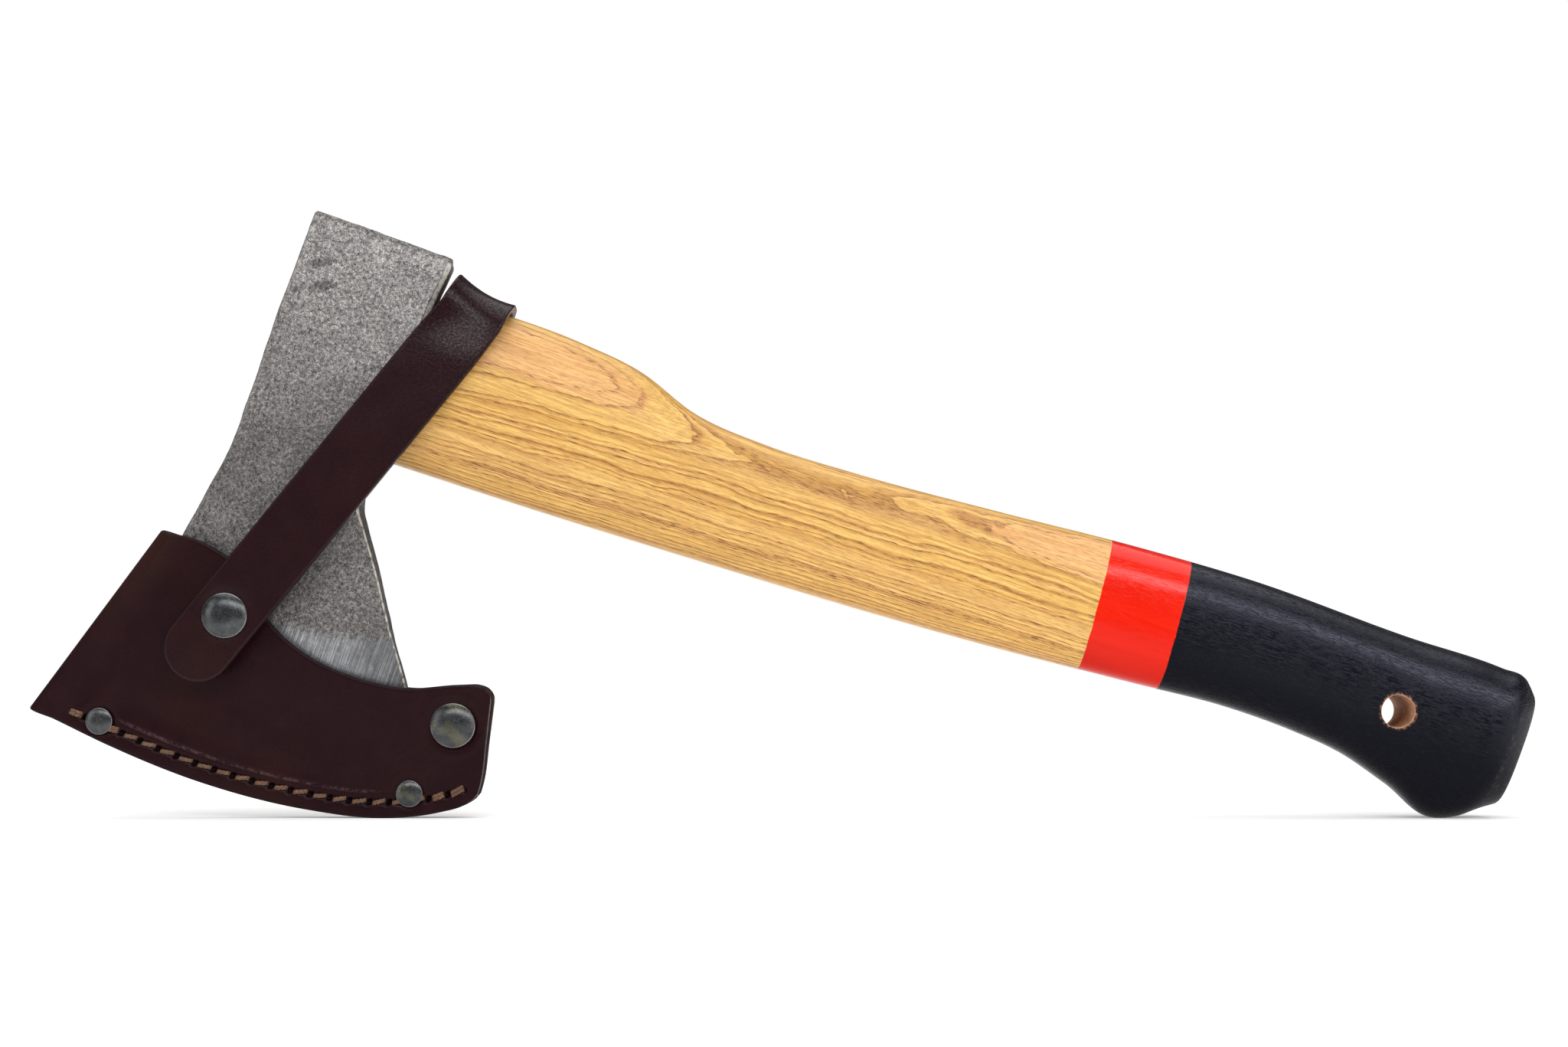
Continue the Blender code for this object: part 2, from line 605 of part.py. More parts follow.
def make_strap():
    half = STRAP_WIDTH / 2
    squeeze = math.cos(STRAP_SKEW)  # of a length along the strip on to s
    angles = [math.radians(a) for a in (-86, -68, -50, -34, -18, 0)]
    tip = [((half + half * math.sin(t) - STRAP_TIP) * squeeze, STRAP_SKEW, half * math.cos(t)) for t in angles]
    straight = [(s * MM, STRAP_SKEW * share, half) for s, share in ((8, 1), (55, 0.5))]
    fifths = [ARC * i / 5 for i in range(6)]
    bends = [(FRONT_RUN + stretch, 0, half) for stretch in fifths]
    bends += [(FRONT_RUN + ARC + TOP_RUN + stretch, 0, half) for stretch in fifths[:-1]]
    bends.append((HINGE_S - GAP / 2, 0, half))
    front = strap_piece("strap_front", tip + straight + bends, FLAP)

    knees = np.cumsum([math.dist(a, b) for a, b in zip(STRAP_BACK_LINE, STRAP_BACK_LINE[1:])])
    tail = HINGE_S + FRONT_RUN + STRAP_TAIL
    stops = [(HINGE_S + GAP / 2, 0, half), (HINGE_S + knees[0], -STRAP_BACK_SKEW / 2, half),
             (HINGE_S + knees[1], -STRAP_BACK_SKEW, half), (tail, -STRAP_BACK_SKEW, half)]
    back = strap_piece("strap_back", stops, SHEATH)
    return front, back


# ---------------------------------------------------------------- fasteners

def dome(radius, rim, height, count=4):
    """Profile of a domed disc from its centre out to its rim and down to its base."""
    turns = [math.pi / 2 * i / count for i in range(count + 1)]
    return [(radius * math.sin(t), rim + (height - rim) * math.cos(t)) for t in turns] + [(radius, 0)]


def cap(name, at, y, facing, radius, height, tube_length, body):
    """A domed cap with its hollow shank."""
    profile = dome(radius, 0.5 * MM, height)
    profile += [(TUBE_RADIUS, 0), (TUBE_RADIUS, -tube_length), (TUBE_BORE, -tube_length), (TUBE_BORE, -GAP), (0, -GAP)]
    return place(turned(name, profile, (at[0], y, at[1]), facing), body, CAP_METAL)


def post(name, at, y, facing, radius, height, pin_length, body):
    """The far half of a rivet: a low disc with a pin that fills the cap's shank."""
    profile = dome(radius, 0.4 * MM, height, count=2)
    profile += [(PIN_RADIUS, 0), (PIN_RADIUS, -pin_length), (0, -pin_length)]
    return place(turned(name, profile, (at[0], y, at[1]), facing), body, POST_METAL)


def through_rivet(name, at, radius, welt=None):
    """A cap on the front panel and a post on the back one, in flat seats pressed into the hide."""
    seat = surface_y(*at) - 0.2 * MM
    base = seat + GAP
    hole = drill(f"{name}_hole", at, TUBE_RADIUS + HOLE_SLACK, -20 * MM, 20 * MM, SHEATH)
    LEATHER_CUTS.append(hole)
    if welt:
        cut(welt, hole)
    for side in (-1, 1):
        seat_name = f"{name}_seat_{'front' if side < 0 else 'back'}"
        LEATHER_CUTS.append(drill(seat_name, at, radius + GAP, side * seat, side * 20 * MM, SHEATH, sides=STEPS))
    cap(f"{name}_cap", at, -base, TO_FRONT, radius, 0.38 * radius, 2 * base - GAP, SHEATH)
    post(f"{name}_post", at, base, TO_BACK, radius * 0.94, 1.1 * MM, 2 * base - 2 * GAP, SHEATH)


def make_snap(strap_front):
    """A snap fastener: stud and post on the front panel; cap, socket and spring ring on the strap."""
    x, z = SNAP_AT
    seat = surface_y(x, z) - 0.2 * MM
    flange_base = seat + GAP
    post_face = panel_gap(x, z) + 0.6 * MM
    post_base = post_face + 0.7 * MM
    LEATHER_CUTS.append(drill("stud_hole", SNAP_AT, TUBE_BORE + HOLE_SLACK, -20 * MM, 0, SHEATH))
    LEATHER_CUTS.append(drill("stud_seat", SNAP_AT, 4.4 * MM + GAP, -20 * MM, -seat, SHEATH, STEPS))
    LEATHER_CUTS.append(drill("stud_post_recess", SNAP_AT, 4.0 * MM + GAP, -post_base - GAP, 0, SHEATH, STEPS))
    stud = in_mm([(0, 3.15), (1.6, 3.1), (2.3, 2.6), (2.4, 2.1), (1.9, 1.5), (1.9, 0.8), (4.4, 0.7), (4.4, 0)])
    bore = [(TUBE_BORE, 0), (TUBE_BORE, 2.2 * MM), (0, 2.2 * MM)]
    place(turned("snap_stud", stud + bore, (x, -flange_base, z), TO_FRONT), SHEATH, POST_METAL)
    pin_top = flange_base + 1.9 * MM - post_base
    plate = [(0, pin_top), (PIN_RADIUS, pin_top), (PIN_RADIUS, 0), (4.0 * MM, 0), (4.0 * MM, -0.7 * MM), (0, -0.7 * MM)]
    place(turned("snap_post", plate, (x, -post_base, z), TO_FRONT), SHEATH, POST_METAL)

    inner = STRAP_Y - STRAP_THICK / 2 - GAP
    lip = flange_base + 1.0 * MM - inner  # the socket's mouth, measured from its plate
    socket = [(TUBE_RADIUS + HOLE_SLACK, 0), (5.4 * MM, 0), (5.4 * MM, -0.7 * MM), (4.9 * MM, -0.8 * MM),
              (4.9 * MM, lip), (3.3 * MM, lip), (3.3 * MM, lip + 0.4 * MM), (3.95 * MM, lip + 0.5 * MM),
              (3.95 * MM, -0.7 * MM), (TUBE_RADIUS + HOLE_SLACK, -0.7 * MM)]
    place(turned("snap_socket", socket, (x, -inner, z), TO_FRONT), FLAP, POST_METAL)
    bpy.ops.mesh.primitive_torus_add(major_radius=3.35 * MM, minor_radius=0.3 * MM, major_segments=STEPS,
                                     minor_segments=6)
    spring = newest("snap_ring_spring")
    spring.rotation_euler = TO_FRONT
    spring.location = (x, -(inner + lip + 1.2 * MM), z)
    place(spring, FLAP, POST_METAL)
    cap("snap_cap", SNAP_AT, -(STRAP_Y + STRAP_THICK / 2 + GAP), TO_FRONT, LARGE_CAP, 2.4 * MM,
        STRAP_THICK + 2 * GAP + 0.7 * MM, FLAP)
    cut(strap_front, drill("snap_hole", SNAP_AT, TUBE_RADIUS + HOLE_SLACK, -20 * MM, -5 * MM, FLAP))


def make_strap_rivet(strap_back):
    """A small rivet that holds the strap's end to the back panel, its post sunk in the panel's inner face."""
    x, z = STRAP_RIVET_AT
    outer_seat = surface_y(x, z) + 0.45 * MM + STRAP_THICK
    post_base = panel_gap(x, z) + 1.3 * MM
    hole = drill("strap_rivet_hole", STRAP_RIVET_AT, TUBE_RADIUS + HOLE_SLACK, 0, 25 * MM, SHEATH)
    seat = drill("strap_rivet_seat", STRAP_RIVET_AT, SMALL_CAP + GAP, outer_seat, 25 * MM, SHEATH, STEPS)
    cut(strap_back, hole, seat)
    recess = drill("strap_rivet_recess", STRAP_RIVET_AT, SMALL_CAP + GAP, 0, post_base + GAP, SHEATH, STEPS)
    LEATHER_CUTS.extend([hole, recess])
    base = outer_seat + GAP
    cap("strap_rivet_cap", STRAP_RIVET_AT, base, TO_BACK, SMALL_CAP, 1.4 * MM, base - post_base - GAP, SHEATH)
    post("strap_rivet_post", STRAP_RIVET_AT, post_base, TO_FRONT, SMALL_CAP, 0.7 * MM,
         base - post_base - 2 * GAP, SHEATH)


make_head()
make_handle()
LEATHER_BODY, WELT_BODY = make_sheath()
STRAP_FRONT, STRAP_BACK = make_strap()
through_rivet("toe_rivet", TOE_RIVET_AT, SMALL_CAP, WELT_BODY)
through_rivet("edge_rivet", EDGE_RIVET_AT, SMALL_CAP, WELT_BODY)
through_rivet("heel_rivet", HEEL_RIVET_AT, LARGE_CAP)
make_snap(STRAP_FRONT)
make_strap_rivet(STRAP_BACK)
cut(LEATHER_BODY, *LEATHER_CUTS)
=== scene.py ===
"""Looks of the carving hatchet in its sheath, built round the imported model."""

import math

import bmesh
import bpy
import numpy as np
from mathutils import Matrix, Vector, noise

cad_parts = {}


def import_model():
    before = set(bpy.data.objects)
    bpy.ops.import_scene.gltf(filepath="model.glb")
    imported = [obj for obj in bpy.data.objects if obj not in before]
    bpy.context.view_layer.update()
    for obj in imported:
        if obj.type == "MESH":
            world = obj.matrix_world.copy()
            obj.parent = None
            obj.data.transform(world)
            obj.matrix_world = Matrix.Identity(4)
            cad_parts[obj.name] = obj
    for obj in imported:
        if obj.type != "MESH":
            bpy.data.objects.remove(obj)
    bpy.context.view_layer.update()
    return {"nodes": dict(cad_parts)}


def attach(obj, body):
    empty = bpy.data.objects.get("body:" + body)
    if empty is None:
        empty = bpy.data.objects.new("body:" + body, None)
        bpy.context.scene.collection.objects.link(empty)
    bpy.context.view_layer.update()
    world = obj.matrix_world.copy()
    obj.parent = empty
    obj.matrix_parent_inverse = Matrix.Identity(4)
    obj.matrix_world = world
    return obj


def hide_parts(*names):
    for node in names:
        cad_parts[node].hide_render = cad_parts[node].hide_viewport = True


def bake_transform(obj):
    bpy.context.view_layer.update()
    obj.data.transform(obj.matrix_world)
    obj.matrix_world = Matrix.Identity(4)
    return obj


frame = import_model()

# Everything below is in millimetres in the tool frame: its origin is on the poll face, X runs along the
# handle, Y through the thickness and Z from the cutting edge up to the poll.
MM = 0.001
LEAN = math.radians(19.795)
STANCE = Vector((-0.10948, 0.00135, 0.1598))
TO_WORLD = np.array(Matrix.Rotation(LEAN, 3, "Y"))

CHEEK_Z = [0, -12, -20, -56, -62, -75, -90, -105, -120, -135, -160]
CHEEK_Y = [10.3, 10.9, 11.2, 11.2, 10.9, 8.4, 6.1, 4.5, 3.1, 1.8, 0.3]
TOE, HEEL, EDGE_RADIUS = Vector((-31.6, -146.6)), Vector((61.4, -136.6)), 162.6
EDGE_BEVEL, EDGE_HALF = 0.135, 0.12
EYE_Z, EYE_HALF_HEIGHT, EYE_HALF_WIDTH, SQUARENESS = -33.5, 19.5, 7.75, 2.6
EYE_GAP, KERF_HALF_HEIGHT = 0.3, 15.8
POLL_UNDERCUT = 3.1
HEAD_LEFT = [(-18.6, 0), (-18.65, -22), (-18.55, -42), (-18.3, -55), (-18.6, -62), (-19.4, -68.5),
             (-21.2, -77.5), (-23.0, -87), (-25.1, -100), (-27.9, -120), (-31.4, -143.5)]
HEAD_RIGHT = [(21.9, 0), (21.5, -5), (21.0, -10), (20.6, -15), (20.4, -24), (20.5, -36), (20.5, -50),
              (20.2, -56.5), (18.9, -62), (18.0, -67), (19.2, -72.5), (22.8, -78), (27.3, -84.3), (36.8, -99),
              (47.5, -114.3), (58.8, -132.2)]
HEEL_CURVE = [(60.2, -135.4), (60.2, -137.2), (56.5, -138.6)]
SMUDGES = [(-12.0, -13.4, 5.5, 1.5), (-9.0, -19.0, 4.0, 2.0), (-15.5, -22.5, 2.2, 1.2)]  # x, z, length, width
ROUND = 1.1  # the rounding of the head's left corner and of the handle's shoulder

HANDLE_TOP = [(21, -9.3), (60, -8.9), (79, -10.9), (97, -16.7), (118, -18.2), (145, -17.1), (184, -13.8),
              (223, -10.0), (256, -7.9), (303, -8.0), (330, -7.3), (336.5, -7.8), (340.8, -11.8)]
HANDLE_BOTTOM = [(21, -58.0), (60, -56.8), (118, -54.2), (158, -52.1), (197, -49.3), (236, -45.6),
                 (262, -43.1), (282, -43.1), (296, -44.3), (311, -48.2), (326, -52.5), (331.6, -50.0),
                 (336.5, -46.0), (340.8, -43.0)]
HANDLE_HALF = [(21, 11.1), (60, 10.8), (118, 10.2), (200, 10.6), (260, 11.4), (300, 11.6), (326, 12.3),
               (336.5, 11.2), (340.8, 8.0)]
HOLE_AT, HOLE_RADIUS = (304.5, -28.9), 4.5
TONGUE_END_X, SHOULDER_X = -18.3, 21.0
RED_START, BLACK_START = 215.9, 238.48
PITH_BEHIND, PITH_ABOVE, RING_WIDTH = 86.0, 6.0, 1.3

LEATHER, BLADE_CLEARANCE, WELT_HALF = 3.0, 0.45, 1.3
FOLD_TOP, FOLD_SLOPE, FOLD_DEPTH = (-30.85, -97.4), 0.305, 7.5
STITCHES = [(-37.6, -151.4), (-22, -152.5), (5, -153.4), (28, -151.5), (48, -147.6), (64, -141.0),
            (73.2, -134.8)]
STITCH_PITCH = 5.45
SHEATH_MOUTH = [(-25.85, -96.4), (-21, -95.6), (-16, -95.8), (-9.6, -97.2), (-1.5, -102.5), (6.9, -110),
                (19, -115), (33, -116.4), (48, -114.5), (62, -108.55), (65.5, -107.3), (68.6, -107.4),
                (70.5, -108.8), (71.2, -110.6)]
SHEATH_FOOT = [(-40.7, -155.3), (-24, -157.1), (5, -158.1), (34, -155.2), (54, -150.4), (68, -143.7),
               (73.7, -139.6), (75.5, -137.3), (76.3, -135.2)]
SHEATH_HEEL = [(71.2, -110.6), (73.6, -121), (76.1, -132.5), (76.3, -135.2)]
WELT_FOOT = [(-40, -154.3), (-24, -156.4), (4, -157.4), (33, -154.6), (53.5, -149.8), (70, -141.8),
             (76.0, -136.2)]
WELT_TOP = [(-38, -148.6), (-24, -150.0), (2, -151.2), (27, -149.7), (50, -144.3), (63.5, -137.8),
            (74.9, -131.3)]
WALL_ROWS = 5  # rows of points across the cut edge of a hide
SNAP_AT, HEEL_RIVET_AT = (-3.5, -112.2), (63.7, -119.8)
TOE_RIVET_AT, EDGE_RIVET_AT, STRAP_RIVET_AT = (-28.1, -151.6), (58.7, -141.5), (-14.3, -112.2)
LARGE_CAP, SMALL_CAP = 6.2, 3.7

STRAP_WIDTH, STRAP_THICK = 18.6, 2.6
RIDGE_TILT, STRAP_SKEW, STRAP_BACK_SKEW = math.radians(10), math.radians(9.5), math.radians(14.5)
STRAP_Y, STRAP_BEND, RIDGE_N, STRAP_TIP, STRAP_TAIL = 13.2, 8.0, 0.3, 20.5, 12.0

# The studio, in metres and watts.
CAMERA_AT, CAMERA_SHIFT, LENS, SENSOR = (0.00052, -0.69, 0.04), 0.0950, 57.5, 36
WORLD_LIGHT, OVERHEAD_LIGHT, FLOOR_GLOW = 0.12, 2.4, 0.27
SOFTBOXES = [("top_softbox", (0.15, -0.88, 0.56), (0, 0, 0.06), (1.3, 0.22), 6.5, (0.94, 0.97, 1)),
             ("left_softbox", (-0.95, -0.75, 0.4), (0, 0, 0.08), (0.5, 0.8), 2.6, (1, 1, 1)),
             ("right_softbox", (0.95, -0.75, 0.4), (0, 0, 0.08), (0.5, 0.8), 2.6, (1, 1, 1))]


# ---------------------------------------------------------------- materials

def tint(red, green, blue):
    """Screen colour values from 0 to 255 as the linear colour that a shader takes."""
    return tuple((c / 255 / 12.92) if c < 10 else ((c / 255 + 0.055) / 1.055) ** 2.4
                 for c in (red, green, blue)) + (1,)


class Look:
    """A material made node by node. Each call takes sockets or constants and returns a socket."""

    def __init__(self, name, along_piece=False):
        self.material = bpy.data.materials.new(name)
        self.material.use_nodes = True
        self.tree = self.material.node_tree
        self.shader = self.tree.nodes["Principled BSDF"]
        if along_piece:  # (across, along, 0) in mm, from the piece's own map
            uv = self.add("UVMap", uv_map="run")
            self.here = self.add("VectorMath", {0: uv, 1: (1000, 1000, 0)}, operation="MULTIPLY")
        else:  # the tool frame in mm
            back = Matrix.Rotation(-LEAN, 3, "Y")
            self.here = self.add("Mapping", {"Vector": self.add("TexCoord", out="Object"),
                                             "Location": -(back @ STANCE) / MM, "Rotation": (0, -LEAN, 0),
                                             "Scale": (1 / MM,) * 3})

    def add(self, kind, given=(), out=0, **settings):
        node = self.tree.nodes.new("ShaderNode" + kind)
        for key, value in settings.items():
            setattr(node, key, value)
        for key, value in dict(given).items():
            if isinstance(value, bpy.types.NodeSocket):
                self.tree.links.new(value, node.inputs[key])
            else:
                node.inputs[key].default_value = value
        return node.outputs[out]

    def math(self, operation, a, b=0.0, c=0.0):
        return self.add("Math", {0: a, 1: b, 2: c}, operation=operation)

    def times(self, a, b):
        return self.math("MULTIPLY", a, b)

    def line(self, a, slope, start):
        return self.math("MULTIPLY_ADD", a, slope, start)

    def plus(self, a, b):
        return self.math("ADD", a, b)

    def minus(self, a, b):
        return self.math("SUBTRACT", a, b)

    def most(self, a, b):
        return self.math("MAXIMUM", a, b)

    def away(self, dx, dy):
        """The length of (dx, dy)."""
        return self.math("SQRT", self.plus(self.math("POWER", dx, 2.0), self.math("POWER", dy, 2.0)))

    def darken(self, colour, by):
        return self.add("VectorMath", {0: colour, "Scale": by}, operation="SCALE")

    def part(self, axis):
        return self.add("SeparateXYZ", {0: self.here}, out=axis)

    def fade(self, value, low, high, to_low=0.0, to_high=1.0):
        """A smooth step of the value, from to_low at low to to_high at high."""
        return self.add("MapRange", {"Value": value, "From Min": low, "From Max": high, "To Min": to_low,
                                     "To Max": to_high}, interpolation_type="SMOOTHSTEP")

    def scaled(self, factors):
        return self.add("VectorMath", {0: self.here, 1: factors}, operation="MULTIPLY")

    def noise(self, scale, detail=2.0, roughness=0.5, distortion=0.0):
        """Noise from 0 to 1 of `scale` cells a millimetre, one number or one for each axis."""
        at = self.here
        if isinstance(scale, tuple):
            at, scale = self.scaled(scale), 1.0
        return self.add("TexNoise", {"Vector": at, "Scale": scale, "Detail": detail, "Roughness": roughness,
                                     "Distortion": distortion})

    def cells(self, scale, feature="F1"):
        return self.add("TexVoronoi", {"Vector": self.here, "Scale": scale}, feature=feature)

    def mix(self, factor, a, b, blend="MIX"):
        return self.add("Mix", {0: factor, 6: a, 7: b}, out=2, data_type="RGBA", blend_type=blend)

    def blend(self, factor, a, b):
        return self.add("Mix", {0: factor, 2: a, 3: b}, data_type="FLOAT")

    def mark(self, name):
        return self.add("Attribute", out="Fac", attribute_name=name)

    def colours(self, factor, *stops):
        node = self.add("ValToRGB", {0: factor}).node
        elements = node.color_ramp.elements
        while len(elements) < len(stops):
            elements.new(0.5)
        for element, (position, colour) in zip(elements, stops):
            element.position, element.color = position, colour
        return node.outputs[0]

    def bump(self, height, distance, under=None):
        given = {"Height": height, "Distance": distance * MM, "Strength": 1.0}
        if under:
            given["Normal"] = under
        return self.add("Bump", given)

    def set(self, **values):
        for key, value in values.items():
            socket = self.shader.inputs[key.replace("_", " ")]
            if isinstance(value, bpy.types.NodeSocket):
                self.tree.links.new(value, socket)
            else:
                socket.default_value = value
        return self.material


def forged_steel():
    """Blasted and tumbled forging: light and dark speckle, smudges, painted highlights on the corners,
    painted shade down the head and on its walls, and a ground bevel.
    """
    look = Look("forged_head")
    grain = look.noise(1.0, 3, 0.7)
    fine = look.noise(2.6, 3, 0.7)
    wide = look.noise(0.06, 3, 0.6)
    shade = look.line(fine, 0.5, look.times(grain, 0.5))
    colour = look.colours(shade, (0.36, tint(60, 58, 58)), (0.45, tint(118, 114, 113)),
                          (0.53, tint(158, 152, 148)), (0.64, tint(216, 210, 202)))
    x, z = look.part(0), look.part(2)
    # painted shade: the head darker from the poll down towards the sheath, times a broad random tone
    painted_shade_and_dirt = look.times(look.fade(z, -8, -66, 0.96, 0.53), look.fade(wide, 0.3, 0.7, 0.84, 1.06))
    smudge = look.times(look.fade(look.noise((0.11, 0.1, 0.34), 4, 0.65), 0.55, 0.68), 0.3)
    ragged = look.noise(0.55, 4, 0.7)
    for at_x, at_z, reach, width in SMUDGES:
        dx, dz = look.minus(x, at_x), look.minus(z, at_z)
        u = look.math("DIVIDE", look.line(dz, 0.5, look.times(dx, 0.87)), reach)
        v = look.math("DIVIDE", look.line(dz, 0.87, look.times(dx, -0.5)), width)
        away = look.line(ragged, 2.4, look.plus(look.times(u, u), look.times(v, v)))
        smudge = look.most(smudge, look.fade(away, 2.3, 1.2))
    smudge = look.times(smudge, look.fade(look.part(1), 2, -2, 0.4, 1))
    painted_shade_and_dirt = look.times(painted_shade_and_dirt, look.line(smudge, -0.6, 1.0))
    pit = look.times(look.fade(look.cells(0.21), 0.15, 0.05), look.fade(look.noise(0.05), 0.45, 0.6))
    painted_shade_and_dirt = look.times(painted_shade_and_dirt, look.line(pit, -0.8, 1.0))
    # the ground bevel, brushed across the edge
    centre = edge_centre()
    away = look.add("VectorMath", {0: look.scaled((1, 0, 1)), 1: (centre.x, 0, centre.y)}, out="Value",
                    operation="DISTANCE")
    ragged = look.line(look.noise((0.9, 0.0, 0.05), 3, 0.7), 9.0, away)
    ground = look.fade(ragged, EDGE_RADIUS - 36.5, EDGE_RADIUS - 32)
    scratch = look.noise((3.0, 0.6, 0.06), 4, 0.75)
    polished = look.colours(scratch, (0.34, tint(84, 86, 90)), (0.5, tint(160, 162, 166)),
                            (0.66, tint(220, 222, 226)))
    painted_shade_and_dirt = look.blend(ground, painted_shade_and_dirt, look.fade(x, 50, 8, 0.45, 0.9))
    colour = look.mix(look.times(ground, 0.7), colour, polished)
    # painted highlight: the corners and chamfers pale and less metallic
    painted_corner_highlight = look.times(look.mark("painted_corner_highlight"), look.fade(look.noise(0.6, 3), 0.35, 0.55, 0.3, 1))
    colour = look.mix(painted_corner_highlight, colour, tint(214, 208, 198))
    painted_shade_and_dirt = look.blend(painted_corner_highlight, painted_shade_and_dirt, 1.0)
    # painted shade: the walls and the poll's top darkened as far as they carry the wall mark
    wall = look.mark("wall")
    painted_shade_and_dirt = look.times(painted_shade_and_dirt, look.line(wall, -0.72, 1.0))
    colour = look.darken(colour, painted_shade_and_dirt)
    roughness = look.blend(ground, look.fade(fine, 0.3, 0.7, 0.62, 0.42),
                           look.fade(scratch, 0.3, 0.7, 0.42, 0.3))
    roughness = look.line(wall, 0.3, roughness)
    height = look.plus(grain, look.times(fine, 0.45))
    height = look.line(pit, -0.9, height)
    rough_bump = look.bump(look.times(height, look.minus(1.0, ground)), 0.2)
    normal = look.bump(look.times(scratch, ground), 0.03, rough_bump)
    return look.set(Base_Color=colour, Metallic=look.blend(painted_corner_highlight, 0.72, 0.15), Roughness=roughness,
                    Normal=normal)


def wood_rings(look):
    """Growth rings round a pith far above and in front of the handle: the place in a ring, and its number."""
    x, y, z = (look.part(i) for i in range(3))
    wander = look.noise((0.011, 0.03, 0.03), 2, 0.5)
    ripple = look.noise((0.055, 0.13, 0.13), 3, 0.55)
    jag = look.noise((0.16, 0.5, 0.5), 2, 0.5)
    run = look.line(x, -0.05, z)
    radius = look.away(look.plus(y, PITH_BEHIND), look.minus(run, PITH_ABOVE))
    for waves, amount in ((wander, 3.4), (ripple, 1.9), (jag, 0.3)):
        radius = look.line(waves, amount, radius)
    uneven = look.add("TexNoise", {"W": radius, "Scale": 0.45, "Detail": 1.0}, noise_dimensions="1D")
    count = look.math("DIVIDE", look.line(uneven, 3.0, radius), RING_WIDTH)
    return look.math("FRACT", count), look.math("FLOOR", count), radius


